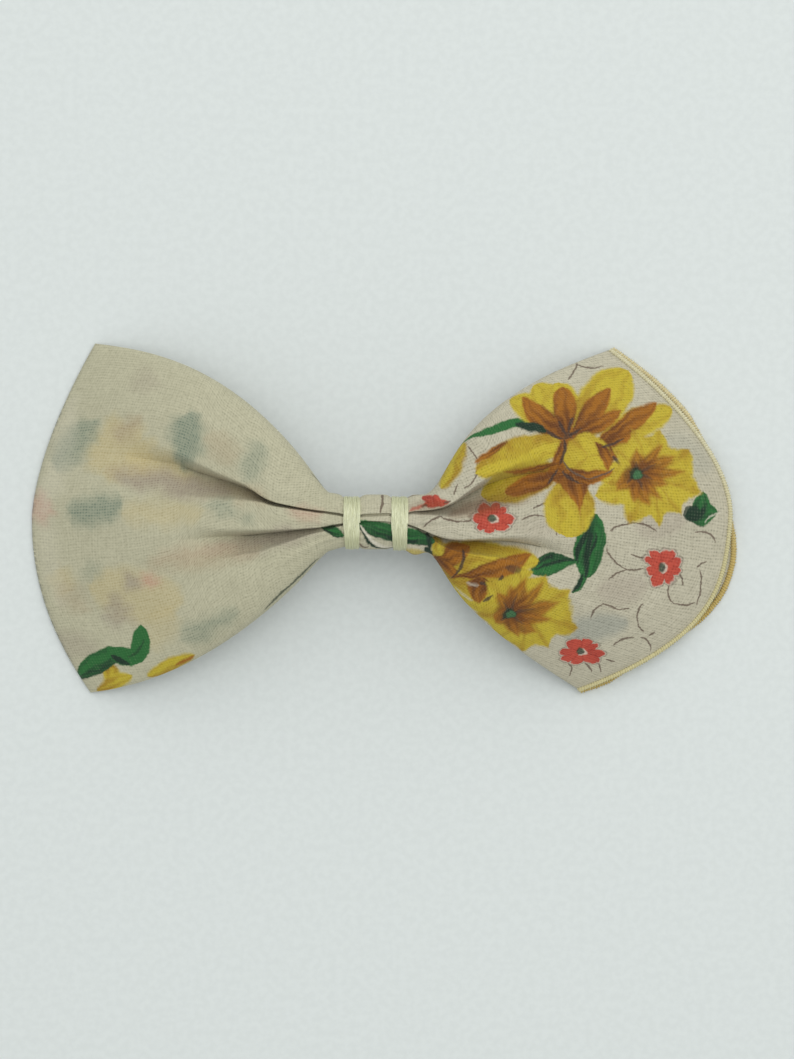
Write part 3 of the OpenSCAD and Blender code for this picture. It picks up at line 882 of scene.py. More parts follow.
        shapes += [
            Petal((409, 511), (428, 504), 1.6, Ink.RED, point=0.5, strength=0.7),
            Petal((423, 505), (448, 502), 4.2, *RED, Shade.SIDE, point=0.6),
            Petal((421, 498), (444, 505), 4, *RED, Shade.ROOT, point=0.5),
            Petal((434, 497), (440, 506), 5, *RED, Shade.SIDE, point=0.6),
            Petal((421, 507), (427, 505), 1.4, Ink.DARK_LEAF, strength=0.7),
            line((444, 503), (449, 501), 0, 1.0),
            # Painted shade: soft umber patches laid over the shapes before them, darkening the hollow below
            # the upper crease and the red flower beside the neck
            Petal((446, 516), (540, 488), 9, Ink.UMBER, soft=6, strength=0.55),
            Petal((410, 508), (450, 506), 7, Ink.UMBER, soft=4, strength=0.3),
        ]
        return shapes + self.neck()

    def neck(self) -> list[Motif]:
        """What lies between the two bindings.

        Returns:
            Its shapes from the lowest up.
        """
        return [
            Petal((350, 523), (433, 542), 8.5, *GREEN, Shade.SIDE, 0, 0.42, 1.15),
            Petal((360, 523), (428, 538), 1.4, Ink.DARK_LEAF, bend=2, strength=0.6),
            Petal((361, 526), (394, 546), 2.0, Ink.PALE, bend=7, point=0.4),
            Petal((361, 530), (394, 549), 1.5, Ink.DARK_LEAF, bend=7, point=0.4),
            line((361, 543), (369, 546), 2, 1.2), line((383, 493), (381, 513), 0, 1.3),
            Petal((400, 552), (428, 556), 5, Ink.YELLOW, Ink.GOLD, Shade.SIDE, strength=0.7),
            Petal((427, 534), (430, 549), 1.8, Ink.DARK_LEAF, point=0.4),
            Petal((425, 547), (433, 556), 3.4, Ink.DARK_LEAF),
        ]

    def through(self) -> list[Motif]:
        """The print of the left wing's back ply, which also shows faintly on its front, with painted shade
        along the creases.

        Returns:
            Its shapes from the lowest up.
        """
        return [
            Blossom((122, 451), 36, Ink.YELLOW, Ink.GOLD, 9.0, 0.25, 0.4, 0.9),
            Petal((128, 456), (194, 477), 17, *YELLOW),
            Petal((116, 444), (144, 418), 9, *BROWN, bend=-3),
            # Along the creases' hollows: the brown band is partly print showing through and partly painted
            # shade, and the two mauve bands are painted shade
            Petal((108, 472), (272, 500), 10, *BROWN, bend=-2),
            Petal((122, 478), (232, 494), 9, *MAUVE, strength=0.95),
            Petal((206, 550), (318, 530), 8, *MAUVE, bend=3),
            Petal((96, 420), (52, 468), 15, *SLATE, point=0.45, strength=0.85),
            Petal((192, 412), (188, 466), 17, *SLATE, point=0.6),
            Petal((214, 434), (238, 466), 13, *BROWN, strength=0.6),
            Petal((264, 444), (250, 485), 11, *SLATE, strength=0.6),
            Petal((68, 516), (124, 503), 14, *SLATE, point=0.35, strength=0.94),
            Blossom((38, 508), 15, Ink.RED, Ink.ROSE, 7.0, 0.4, 0.3),
            Petal((124, 511), (208, 514), 13, *YELLOW, strength=0.75),
            Blossom((226, 509), 12, Ink.SLATE, Ink.DARK_LEAF, 5.0, 0.2, 0.4, 0.7, strength=0.6),
            Petal((292, 511), (324, 514), 4, *RED, Shade.RIB, strength=0.9),
            Blossom((250, 520), 7, Ink.SLATE, Ink.DARK_LEAF, 5.0, 0.2, 0.4, 0.7, strength=0.6),
            Petal((92, 588), (186, 602), 26, *YELLOW, strength=0.9),
            Petal((150, 648), (176, 606), 15, *YELLOW, strength=0.6),
            Blossom((153, 580), 9, Ink.RED, Ink.ROSE, 7.0, 0.4, 0.3),
            Blossom((135, 583), 8, Ink.MAUVE, Ink.UMBER, 5.0, 0.2, 0.4),
            Petal((60, 568), (66, 594), 12, *YELLOW, strength=0.8),
            Petal((58, 584), (88, 614), 13, *BROWN, strength=0.6),
            Blossom((118, 613), 15, Ink.MAUVE, Ink.UMBER, 6.0, 0.3, 0.4, strength=0.75),
            Petal((182, 629), (242, 610), 6, *SLATE, bend=3, strength=0.8),
            Petal((185, 640), (211, 633), 5, *SLATE, strength=0.7),
            Blossom((94, 570), 10, Ink.SLATE, Ink.DARK_LEAF, 5.0, 0.2, 0.4, strength=0.4),
            Petal((150, 562), (262, 549), 12, *BROWN, strength=0.72),
            Petal((160, 556), (240, 545), 8, *RED, Shade.RIB, strength=0.18),
            Petal((46, 640), (96, 652), 13, *MAUVE, strength=0.5),
            Blossom((147, 382), 13, Ink.MAUVE, Ink.UMBER, 6.0, 0.3, 0.4, strength=0.35),
        ]

    def left(self) -> list[Motif]:
        """Everything on the left wing's front.

        Returns:
            Its shapes from the lowest up.
        """
        shapes: list[Motif] = [motif.faded() for motif in self.through()]
        shapes += [
            Petal((72, 396), (40, 512), 12, Ink.PALE, bend=-4, soft=9.0, strength=0.3, loose=True),
            Petal((40, 490), (62, 606), 11, Ink.PALE, bend=4, soft=9.0, strength=0.25, loose=True),
            Petal((108, 662), (115, 688), 9, *YELLOW, point=0.7),
            Petal((96, 691), (132, 676), 8, *YELLOW, point=0.6),
            Petal((148, 677), (196, 655), 9, Ink.YELLOW, Ink.GOLD, Shade.SIDE, point=0.6),
            Petal((178, 666), (196, 656), 2.4, Ink.BROWN, point=0.7),
            leaf((73, 678), (129, 649), 11, -2, 1.0),
            Petal((107, 650), (147, 653), 9, Ink.LEAF, bend=5, point=0.6),
            Petal((138, 663), (142, 623), 10, Ink.LEAF, bend=3, point=0.75, belly=0.9),
            Petal((112, 655), (131, 664), 3, Ink.DARK_LEAF, bend=1),
            Petal((88, 673), (112, 664), 1.1, Ink.DARK_LEAF, bend=1, strength=0.7),
            Petal((129, 656), (146, 639), 1.3, Ink.DARK_LEAF, bend=4, strength=0.6),
            Petal((267, 611), (320, 560), 1.5, Ink.DARK_LEAF, bend=-2, point=0.3, strength=0.8),
            Petal((312, 472), (341, 493), 1.2, Ink.DARK_LEAF, point=0.3, strength=0.7),
            leaf((322, 526), (346, 537), 5, 0, 1.3),
        ]
        return shapes + self.neck()

    def back(self) -> list[Motif]:
        """Everything on the back leaf, whose flowers are like the front's.

        Returns:
            Its shapes from the lowest up.
        """
        shapes: list[Motif] = []
        for motif in self.through():
            if isinstance(motif, Petal) and motif.ink is Ink.SLATE:
                shapes.append(leaf(motif.root, motif.tip, motif.half * 0.9, motif.bend))
        large = (((122, 451), (128, 457), 38), ((146, 596), (138, 590), 40), ((470, 500), (478, 506), 40),
                 ((610, 470), (602, 478), 48), ((600, 596), (592, 590), 44))
        turns = (0.0, 0.8, 1.5, 2.3, 3.1, 3.8, 4.7, 5.5)
        for centre, heart, radius in large:
            wide, tall = 0.7 * radius, 0.65 * radius
            tips = [(centre[0] + wide * math.cos(turn), centre[1] + tall * math.sin(turn)) for turn in turns]
            shapes += rosette(centre, heart, radius, 0.92, tips)
        small = (((44, 508), 17, 0.2), ((226, 508), 16, 1.1), ((70, 600), 17, 0.7), ((540, 540), 20, 0.4),
                 ((676, 548), 19, 1.4), ((520, 440), 17, 2.0))
        for centre, radius, turn in small:
            shapes += daisy(centre, radius, 0.95, turn)
        shapes += [
            leaf((548, 470), (524, 500), 11, 3),
            leaf((650, 530), (636, 580), 13, -3),
            leaf((500, 580), (540, 600), 11, 3),
        ]
        return shapes


@dataclass(frozen=True)
class CottonFinish:
    """Thin matte cotton with its print.

    Attributes:
        pitch: Grid steps from thread to thread.
        relief: Depth of the weave in metres.
        tones: Grid columns over which the left wing's ground turns into the right wing's.
        sheer_from: Grid column where the weave starts to look more open.
        hole_dark: How dark the gaps between threads are at the left and at the right.
    """

    pitch: float = 2.9
    relief: float = 0.00005
    tones: Flat = (330.0, 430.0)
    sheer_from: float = 120.0
    hole_dark: Flat = (0.42, 0.66)

    def material(self, name: str, effects: Effects, motifs: Sequence[Motif], area: Box) -> Material:
        """Makes the cotton of one stretch of the cloth.

        Args:
            name: The material's name.
            effects: Shared groups.
            motifs: The print's shapes from the lowest up.
            area: Grid corners of the stretch.

        Returns:
            The material.
        """
        net = Surface(name)
        grid = net.drawing("print_grid", GRID_LAYER)
        weave = net.place(effects.weave, Point=net.drawing("weave_run", GRID_LAYER), Pitch=self.pitch)
        hole = weave.outputs["Hole"]
        across, _, _ = net.parts(grid)
        side = net.span(across, *self.tones)
        light = net.blend(side, Ink.FOLD_CREAM.value, Ink.CREAM.value)
        dark = net.blend(side, Ink.FOLD_SHADE.value, Ink.CREAM_SHADE.value)
        cloud = net.noise(grid, scale=0.018, detail=3.0)
        tone = net.plus(net.times(weave.outputs["Slub"], 0.6), net.times(cloud, 0.5), clamp=True)
        ground = net.blend(tone, dark, light)
        drift = net.place(effects.drift, Point=grid)
        printed: Any = ground
        veil = net.span(hole, 0.0, 0.6, 0.66, 1.0)
        veiled = any(motif.loose for motif in motifs)
        for motif in motifs:
            if veiled and not motif.loose:
                printed = net.blend(veil, ground, printed)
                veiled = False
            if touches(motif.reach(), area):
                printed = motif.paint(net, effects, drift, printed)
        cover = net.span(weave.outputs["Crest"], 0.1, 0.9, 0.98, 0.9)
        # Painted highlight: the thread crossings are made up to 2.5 % lighter or darker in a checker
        crown = net.span(weave.outputs["Crossing_Highlight"], 0.0, 1.0, 0.975, 1.025)
        cloth = net.scaled(net.blend(cover, ground, printed), crown)
        shaded = net.scaled(cloth, 0.3)
        gap = net.times(hole, net.span(across, self.sheer_from, self.tones[1], *self.hole_dark))
        net.dress(Base_Color=net.blend(gap, cloth, shaded))
        net.dress(Roughness=net.span(hole, 0.0, 1.0, 0.84, 0.96))
        net.dress(Specular_IOR_Level=0.2, Sheen_Weight=0.08, Sheen_Roughness=0.5)
        net.bump(weave.outputs["Height"], self.relief, 0.6)
        return net.material


@dataclass(frozen=True)
class ThreadFinish:
    """Spun cotton thread or floss.

    Attributes:
        lay: How steeply the fibres wind.
        far: Colour of the light fibres at the bow's upper edge, where it is another.
        wear_and_painted_shade: Painted shade: colour of the light fibres away from the bow's middle, where it
            is another.
        far_run: Places across the bow, in metres, where far starts and is full.
        middle: Place across the bow, in metres, that the painted shade is measured from.
        painted_shade_run: Distances from the middle, in metres, where the painted shade starts and is full.
    """

    name: str
    light: Colour
    dark: Colour
    lay: float = 0.6
    roughness: float = 0.62
    sheen: float = 0.15
    gloss: float = 0.35
    far: Colour | None = None
    wear_and_painted_shade: Colour | None = None
    far_run: Flat = (-0.012, 0.012)
    middle: float = -0.0008
    painted_shade_run: Flat = (0.0014, 0.0045)

    def material(self, effects: Effects) -> Material:
        """Makes the thread's material.

        Args:
            effects: Shared groups.

        Returns:
            The material.
        """
        net = Surface(self.name)
        fibre = net.place(effects.fibre, Point=net.drawing("thread_run", THREAD_LAYER), Lay=self.lay)
        _, place, _ = net.parts(net.node("ShaderNodeTexCoord").outputs["Object"])
        light: Any = self.light
        if self.far is not None:
            light = net.blend(net.span(place, *self.far_run), light, self.far)
        # Painted shade: the light fibres darken away from the bow's middle, towards the neck's upper and
        # lower edges
        if self.wear_and_painted_shade is not None:
            off = net.math("ABSOLUTE", net.minus(place, self.middle))
            light = net.blend(net.span(off, *self.painted_shade_run), light, self.wear_and_painted_shade)
        lit = net.span(fibre.outputs["Tone"], 0.3, 0.7, 0.25, 1.0)
        net.dress(Base_Color=net.blend(lit, self.dark, light))
        net.dress(Roughness=net.span(fibre.outputs["Tone"], 0.2, 0.8, self.roughness + 0.12, self.roughness))
        net.dress(Specular_IOR_Level=self.gloss, Sheen_Weight=self.sheen, Sheen_Roughness=0.4)
        net.bump(fibre.outputs["Height"], 0.00004, 0.5)
        return net.material


@dataclass(frozen=True)
class SteelFinish:
    """Bright plated spring steel with fine rolling marks."""

    name: str
    light: Colour
    dark: Colour
    roughness: float = 0.3

    def material(self) -> Material:
        """Makes the steel's material.

        Returns:
            The material.
        """
        net = Surface(self.name)
        place = net.node("ShaderNodeTexCoord").outputs["Object"]
        across, along, up = net.parts(place)
        grain = net.noise(net.join(net.times(across, 0.05), along, up), scale=9000.0, detail=3.0)
        smudge = net.noise(place, scale=160.0, detail=3.0)
        tone = net.plus(net.times(grain, 0.5), net.times(smudge, 0.5))
        net.dress(Base_Color=net.blend(net.span(tone, 0.35, 0.65), self.dark, self.light))
        net.dress(Metallic=1.0)
        net.dress(Roughness=net.span(tone, 0.3, 0.7, self.roughness + 0.12, self.roughness - 0.06))
        net.bump(grain, 0.000006, 0.35)
        return net.material


def run_along(path: Array) -> Array:
    """Length of a path from its start to each of its points."""
    steps = np.linalg.norm(np.diff(path, axis=0), axis=1)
    return np.concatenate(([0.0], np.cumsum(steps)))


def sampled(path: Array, run: Array, places: Array) -> Array:
    """Points of a path at some places along it; run is its length up to each of its own points."""
    return np.stack([np.interp(places, run, path[:, axis]) for axis in range(path.shape[1])], axis=1)


def hump(x: Array, at: float, wide: float, power: int = 2) -> Array:
    """A smooth hump of height 1, flatter on top where the power is higher."""
    return np.exp(-((x - at) / wide) ** power)


def rounded(t: Array, power: float) -> Array:
    """A rounded profile, 1 in a row's middle and 0 at its ends."""
    return np.sqrt(np.clip(1 - np.abs(t) ** power, 0, 1))


def looped(fronts: Sequence[Array], backs: Sequence[Array]) -> Array:
    """Joins each front row to its back row and lists the loops one after the other."""
    return np.concatenate([np.concatenate((front, back[::-1])) for front, back in zip(fronts, backs)])


def new_mesh(name: str, points: Array, faces: Sequence[Sequence[int]]) -> Piece:
    """Makes a smooth mesh object.

    Args:
        name: The piece's name.
        points: Its corners in millimetres.
        faces: Corner numbers of each face.

    Returns:
        The object, linked to the scene.
    """
    mesh = bpy.data.meshes.new(name)
    mesh.from_pydata((points * MM).tolist(), [], [tuple(face) for face in faces])
    mesh.validate()
    mesh.polygons.foreach_set("use_smooth", np.ones(len(mesh.polygons), dtype=bool))
    piece = bpy.data.objects.new(name, mesh)
    bpy.context.scene.collection.objects.link(piece)
    return piece


def give_layer(piece: Piece, layer: str, values: Array) -> None:
    """Adds a pattern layer with two numbers for each face corner."""
    made = piece.data.uv_layers.new(name=layer)
    made.data.foreach_set("uv", np.asarray(values, dtype=np.float32).ravel())


@dataclass
class Strand:
    """Round threads gathered into one mesh."""

    points: list[Array] = field(default_factory=list)
    faces: list[list[int]] = field(default_factory=list)
    runs: list[tuple[float, float]] = field(default_factory=list)
    count: int = 0
    # A way that no thread starts in
    odd_way: tuple[float, float, float] = (0.31, 0.52, 0.79)

    def add(self, path: Array, radius: float, sides: int, flat: float = 1.0, up: Array | None = None) -> None:
        """Sweeps one thread along a path.

        Args:
            path: Points of its middle in millimetres.
            radius: Its radius.
            sides: Corners round it.
            flat: Height for each unit of width.
            up: Direction of the height at each point; found from the path if left out.
        """
        heading = np.gradient(path, axis=0)
        heading /= np.linalg.norm(heading, axis=1, keepdims=True)
        if up is None:
            rise = np.zeros_like(path)
            rise[0] = np.cross(heading[0], self.odd_way)
            rise[0] /= np.linalg.norm(rise[0])
            for row in range(1, len(path)):
                kept = rise[row - 1] - heading[row] * np.dot(rise[row - 1], heading[row])
                rise[row] = kept / np.linalg.norm(kept)
        else:
            rise = up - heading * np.sum(up * heading, axis=1, keepdims=True)
            rise /= np.linalg.norm(rise, axis=1, keepdims=True)
        wide = np.cross(heading, rise)
        angles = np.linspace(0, 2 * math.pi, sides, endpoint=False)
        sideways = np.cos(angles)[None, :, None] * wide[:, None, :]
        upward = flat * np.sin(angles)[None, :, None] * rise[:, None, :]
        ring = path[:, None, :] + radius * (sideways + upward)
        run = run_along(path)
        first = self.count
        rows = len(path)
        self.points.append(ring.reshape(-1, 3))
        self.count += rows * sides
        for row in range(rows - 1):
            for side in range(sides):
                here = first + row * sides + side
                there = first + row * sides + (side + 1) % sides
                self.faces.append([here, there, there + sides, here + sides])
                low, high = side / sides, (side + 1) / sides
                self.runs += [(run[row], low), (run[row], high), (run[row + 1], high), (run[row + 1], low)]
        for row, order in ((0, -1), (rows - 1, 1)):
            self.faces.append([first + row * sides + side for side in range(sides)][::order])
            self.runs += [(run[row], side / sides) for side in range(sides)][::order]

    def piece(self, name: str) -> Piece:
        """Makes one piece of all the threads.

        Args:
            name: The piece's name.

        Returns:
            The piece.
        """
        made = new_mesh(name, np.concatenate(self.points), self.faces)
        give_layer(made, "thread_run", np.array(self.runs) / THREAD_LAYER)
        return made


@dataclass(frozen=True)
class ClipArc:
    """The arched clip bar that the bow is lashed to, in millimetres."""

    radius: float = 90.0
    thick: float = 0.8
    width: float = 9.0
    under: float = 11.5
    seat_gap: float = 0.15

    def over(self, x: Array | float) -> Array:
        """Height of the bar's upper face at x from the neck."""
        return self.under - self.radius + np.sqrt((self.radius + self.thick) ** 2 - np.square(x))

    def below(self, x: Array | float) -> Array:
        """Height of the bar's lower face at x from the neck."""
        return self.under - self.radius + np.sqrt(self.radius ** 2 - np.square(x))


@dataclass(frozen=True)
class Wing:
    """One side of the bow in plan, in millimetres from the neck's centre.

    Attributes:
        side: -1 at the left, 1 at the right.
        reach: How far out the middle of its end lies.
        top: How far out and up its upper corner lies.
        bottom: How far out and down its lower corner lies.
        bow_up: Straight part and power of the upper edge's curve.
        bow_down: The same of the lower edge's curve.
        start: Length and power with which the edges leave the neck.
        full_up: Power of the end's curve above its middle.
        full_down: The same below its middle.
        tip_z: Height of its end.
        neck_half: Half of the neck's length.
        neck_width: Half of the neck's width.
    """

    side: float
    reach: float
    top: Flat
    bottom: Flat
    bow_up: Flat
    bow_down: Flat
    start: Flat
    full_up: float
    full_down: float
    tip_z: float
    neck_half: float = 9.0
    neck_width: float = 5.4

    def rise(self, s: Array | float, bow: Flat) -> Array:
        """How far one edge of the wing has opened at a part s of its length."""
        opened = bow[0] * s + (1 - bow[0]) * (1 - (1 - s) ** bow[1])
        return opened * (1 - np.exp(-(np.asarray(s) / self.start[0]) ** self.start[1]))

    def edges(self, s: Array | float) -> tuple[Array, Array]:
        """Heights of the lower and the upper edge at a part s of the wing's length."""
        low = -mix(self.neck_width, self.bottom[1], self.rise(s, self.bow_down))
        return low, mix(self.neck_width, self.top[1], self.rise(s, self.bow_up))

    def end_x(self, t: Array) -> Array:
        """Finds how far out the wing's end lies.

        Args:
            t: Parts of its height, -1 to 1.

        Returns:
            The distance from the neck at each of them.
        """
        straight = mix(self.bottom[0], self.top[0], (t + 1) / 2)
        power = np.where(t > 0, self.full_up, self.full_down)
        return straight + (self.reach - (self.top[0] + self.bottom[0]) / 2) * (1 - np.abs(t) ** power)

    def plan(self, s: Array, t: Array) -> tuple[Array, Array]:
        """The x and y at a part s of the wing's length and a part t of its height, -1 to 1."""
        low, high = self.edges(s)
        return self.side * mix(self.neck_half, self.end_x(t), s), mix(low, high, (t + 1) / 2)

    def part(self, x: float, y: float) -> Flat:
        """Finds s and t of a point in plan.

        Args:
            x: Its x.
            y: Its y.

        Returns:
            Its parts s and t.
        """
        s, t = 0.0, 0.0
        for _ in range(12):
            length = self.end_x(np.array(t)) - self.neck_half
            s = float(np.clip((abs(x) - self.neck_half) / length, 0.0, 1.0))
            low, high = self.edges(s)
            t = float(np.clip(2 * (y - low) / (high - low) - 1, -0.95, 0.95))
        return s, t


@dataclass(frozen=True)
class Crease:
    """One crease that runs from wing to wing through the neck.

    Each table gives values at columns of the print's grid.

    Attributes:
        path: Grid rows of the crease.
        depth: Millimetres that the cloth falls into it.
        slope: Millimetres over which its gentle lower side falls.
        lip: Millimetres that its steep upper side leans over it.
        tuck: Millimetres of cloth hidden in it.
    """

    path: tuple[Flat, ...]
    depth: tuple[Flat, ...]
    slope: tuple[Flat, ...]
    lip: tuple[Flat, ...]
    tuck: tuple[Flat, ...]

    def read(self, table: tuple[Flat, ...], x: Array | float) -> Array:
        """Reads one of the crease's tables at x from the neck."""
        steps = GRID_NECK[0] + np.asarray(x) / STEP
        return np.interp(steps, [row[0] for row in table], [row[1] for row in table])

    def height(self, x: Array | float) -> Array:
        """Finds where the crease lies across the bow.

        Args:
            x: Places along the bow, from the neck.

        Returns:
            Its place across the bow at each of them.
        """
        near = [np.asarray(x) + shift for shift in (-1.6, -0.8, 0.0, 0.8, 1.6)]
        rows = [self.read(self.path, place) for place in near]
        return (GRID_NECK[1] - sum(rows) / len(rows)) * STEP

    def fall(self, away: Array, x: Array) -> tuple[Array, Array]:
        """Shapes the cloth beside the crease.

        Args:
            away: Places across the bow, from the crease up.
            x: Places along the bow.

        Returns:
            How far the cloth falls in, and how far it leans over the crease.
        """
        gentle = self.read(self.slope, x)
        steep = 0.3 + 0.075 * gentle * gentle
        lower = np.clip(1 + away / gentle, 0, 1) ** 0.5
        upper = np.clip(1 - away / steep, 0, 1) ** 1.7
        over = np.clip(away / steep, 0, None)
        lean = np.where(away > 0, over * np.exp(1 - over), 0.0)
        return self.read(self.depth, x) * np.where(away > 0, upper, lower), self.read(self.lip, x) * lean


@dataclass
class BowCloth:
    """The folded handkerchief: front, back, and the fold that joins them at the left.

    Lengths are in millimetres.

    Attributes:
        peek: How far the back's edge shows past the front's, at parts of the right end's height.
        rows: Rows of points in the left wing, the neck and the right wing.
        row_power: How much closer the rows lie at the neck, above 1.
        lobe_columns: Columns of points above the pleat, and as many below it.
        tuck_reach: How far into a tuck each of its points lies.
        tuck_layer: Which layer of the tuck it is in, -1 to 1.
        most_shapes: Most printed shapes that one material may hold.
        least_stretch: Least grid steps from a stretch's edge to a cut.
        lash_wide: Half of the length that a binding presses on.
        lash_draw: Part of the width that a binding draws in below and above the middle.
        front_lift: How far the front's rim lies above the middle between front and back.
        thin_power: How late the fold thins towards the rims.
        back_drop: How far the back lies below the middle.
        fold_from: Part of the left wing's length where the fold starts to thin.
        fold_length: Part of the length over which it thins.
        fold_least: Part of its thickness left at the end.
        fan: How much the threads fan out from the neck, 0 to 1.
        middles: Grid place of each face's middle.
        is_back: Whether each face is on the back.
    """

    bar: ClipArc = field(default_factory=ClipArc)
    left: Wing = Wing(
        side=-1, reach=69.2, top=(56.5, 35.9), bottom=(57.4, 34.3), bow_up=(0.22, 2.6), bow_down=(0.25, 2.15),
        start=(0.03, 1.0), full_up=1.6, full_down=2.05, tip_z=0.5)
    right: Wing = Wing(
        side=1, reach=70.7, top=(46.6, 34.5), bottom=(40.4, 33.5), bow_up=(0.5, 3.1), bow_down=(0.72, 3.1),
        start=(0.11, 1.6), full_up=1.75, full_down=3.2, tip_z=0.8)
    peek: tuple[Flat, ...] = (
        (-1.0, 0.2), (-0.95, 1.3), (-0.88, -0.5), (-0.66, -0.5), (-0.6, 0.7), (-0.42, 1.7), (-0.22, 1.7),
        (-0.08, 0.9), (0.02, -0.3), (0.4, -0.4), (0.52, 0.3), (0.62, 1.2), (0.8, 1.3), (0.93, 0.8),
        (1.0, 0.4))
    upper: Crease = Crease(
        path=((60, 452), (120, 455), (178, 465), (204, 474), (224, 480.5), (250, 488), (260, 494),
              (270, 500.5), (300, 507), (329, 512), (343, 514), (361, 514.5), (376, 514), (391, 513),
              (408, 512), (430, 510.5), (448, 507), (467, 496), (484, 486), (497, 481), (512, 477),
              (540, 472), (640, 464), (720, 460)),
        depth=((90, 0), (130, 1.0), (178, 3.3), (204, 5.2), (235, 5.6), (265, 5.0), (300, 3.1),
               (343, 1.1), (361, 0.6), (391, 0.7), (408, 1.3), (430, 2.6), (448, 4.6), (467, 5.6),
               (484, 5.6), (500, 4.7), (522, 3.2), (555, 1.2), (600, 0)),
        slope=((110, 9), (150, 6.8), (178, 5.6), (204, 4.6), (235, 3.2), (250, 2.4), (265, 1.1),
               (300, 0.7), (343, 0.5), (408, 0.45), (430, 1.0), (448, 2.0), (467, 3.2), (484, 4.2),
               (500, 4.8), (522, 5.8), (600, 8)),
        lip=((165, 0), (190, 0.1), (220, 0.25), (250, 0.35), (280, 0.5), (330, 0.4), (343, 0.2),
             (408, 0.2), (440, 0.4), (470, 0.3), (500, 0.2), (530, 0)),
        tuck=((186, 0), (208, 6), (240, 9), (286, 6.6), (331, 2), (421, 2), (466, 7), (500, 9), (522, 6),
              (545, 0)),
    )
    lower: Crease = Crease(
        path=((60, 548), (150, 543), (219, 537), (250, 535.4), (275, 532.8), (300, 529.5), (321, 527),
              (335, 524.5), (343, 523.5), (361, 521.5), (376, 521), (391, 521.5), (408, 524), (420, 528),
              (431, 533), (440, 537), (456, 540.5), (484, 540.5), (508, 541), (533, 545), (560, 553),
              (600, 565), (640, 575), (720, 592)),
        depth=((160, 0), (190, 0.8), (219, 2.4), (235, 3.6), (250, 4.5), (275, 4.7), (300, 3.6),
               (321, 2.5), (343, 1.5), (361, 0.7), (391, 0.7), (408, 1.2), (431, 2.8), (456, 4.4),
               (484, 4.9), (508, 4.2), (533, 2.6), (565, 1.2), (620, 0)),
        slope=((180, 7), (219, 4.4), (242, 3.8), (265, 3.3), (288, 2.3), (313, 1.2), (343, 0.5),
               (408, 0.5), (431, 1.1), (456, 2.2), (484, 3.0), (508, 3.6), (533, 4.8), (600, 8)),
        lip=((236, 0), (262, 0.2), (285, 0.3), (320, 0.4), (343, 0.25), (408, 0.3), (431, 0.5),
             (484, 0.4), (515, 0.2), (560, 0)),
        tuck=((246, 0), (262, 4), (278, 6), (296, 5), (331, 1), (421, 1), (466, 6), (500, 8), (522, 5),
              (540, 0)),
    )
    rows: tuple[int, int, int] = (118, 42, 128)
    row_power: float = 1.2
    lobe_columns: int = 62
    ridge_columns: int = 34
    back_columns: int = 46
    tuck_reach: tuple[float, ...] = (0.02, 0.3, 0.6, 0.9, 1.0, 0.9, 0.6, 0.3)
    tuck_layer: tuple[float, ...] = (-1.0, -1.0, -1.0, -0.7, 0.0, 0.7, 1.0, 1.0)
    tuck_thick: float = 0.12
    most_shapes: int = 42
    least_stretch: float = 20.0
    lashed: Flat = (-4.7, 4.7)
    lash_wide: float = 2.0
    lash_depth: float = 0.35
    lash_draw: Flat = (0.08, 0.16)
    neck_rise: float = 3.1
    puff: float = 4.6
    front_lift: float = 0.6
    thin_power: int = 14
    back_drop: float = 0.5
    fold_from: float = 0.97
    fold_length: float = 0.03
    fold_least: float = 0.22
    mouth_gap: float = 1.2
    flat_width: float = 71.5
    fan: float = 0.65
    middles: Array = field(init=False, repr=False)
    is_back: Array = field(init=False, repr=False)

    def stations(self) -> list[tuple[int, float]]:
        """Lists the rows from the left end to the right one.

        Returns:
            For each row its side, -1, 0 or 1, and its part of the wing or its x in the neck.
        """
        left, neck, right = self.rows
        half = self.left.neck_half
        rows = [(-1, (1 - row / left) ** self.row_power) for row in range(left)]
        rows += [(0, mix(-half, half, row / neck)) for row in range(neck)]
        rows += [(1, (row / right) ** self.row_power) for row in range(right + 1)]
        return rows

    def wing(self, side: int) -> Wing:
        """The wing at the left (-1) or at the right (1)."""
        return self.left if side < 0 else self.right

    def crease_parts(self, side: int, value: float) -> Flat:
        """Finds where the two creases cross a row.

        Args:
            side: The row's side.
            value: Its part of the wing or its x.

        Returns:
            The parts t of the lower and the upper crease.
        """
        if side == 0:
            width = self.left.neck_width
            return float(self.lower.height(value)) / width, float(self.upper.height(value)) / width
        wing = self.wing(side)
        found = []
        for crease in (self.lower, self.upper):
            t = 0.0
            for _ in range(8):
                x, _y = wing.plan(np.array(value), np.array(t))
                _s, t = wing.part(float(x), float(crease.height(float(x))))
            found.append(t)
        return found[0], found[1]

    def columns(self, low: float, high: float) -> tuple[Array, Array]:
        """Spreads a row's points, closer together at the creases and edges.

        Args:
            low: Part t of the lower crease.
            high: Part t of the upper crease.

        Returns:
            The parts t of the row's points, and the place of each one in the lower and in the upper tuck,
            0 where it is in none.
        """
        parts, places = [], []
        count = len(self.tuck_reach)
        lobe = self.lobe_columns
        runs = ((-1.0, low, lobe), (low, high, self.ridge_columns), (high, 1.0, lobe))
        for start, end, many in runs:
            inside = np.zeros((2, count))
            if start > -1.0:
                gap = start - parts[-1][-1]
                parts.append(start - gap * (1 - np.arange(1, count + 1) / (count + 1)))
                inside[0 if start == low else 1] = np.arange(1, count + 1)
                places.append(inside)
            even = np.linspace(0, 1, many, endpoint=False)
            parts.append(mix(start, end, 0.4 * even + 0.6 * (1 - np.cos(math.pi * even)) / 2))
            places.append(np.zeros((2, many)))
        return np.concatenate(parts + [np.array([1.0])]), np.concatenate(places + [np.zeros((2, 1))], axis=1)

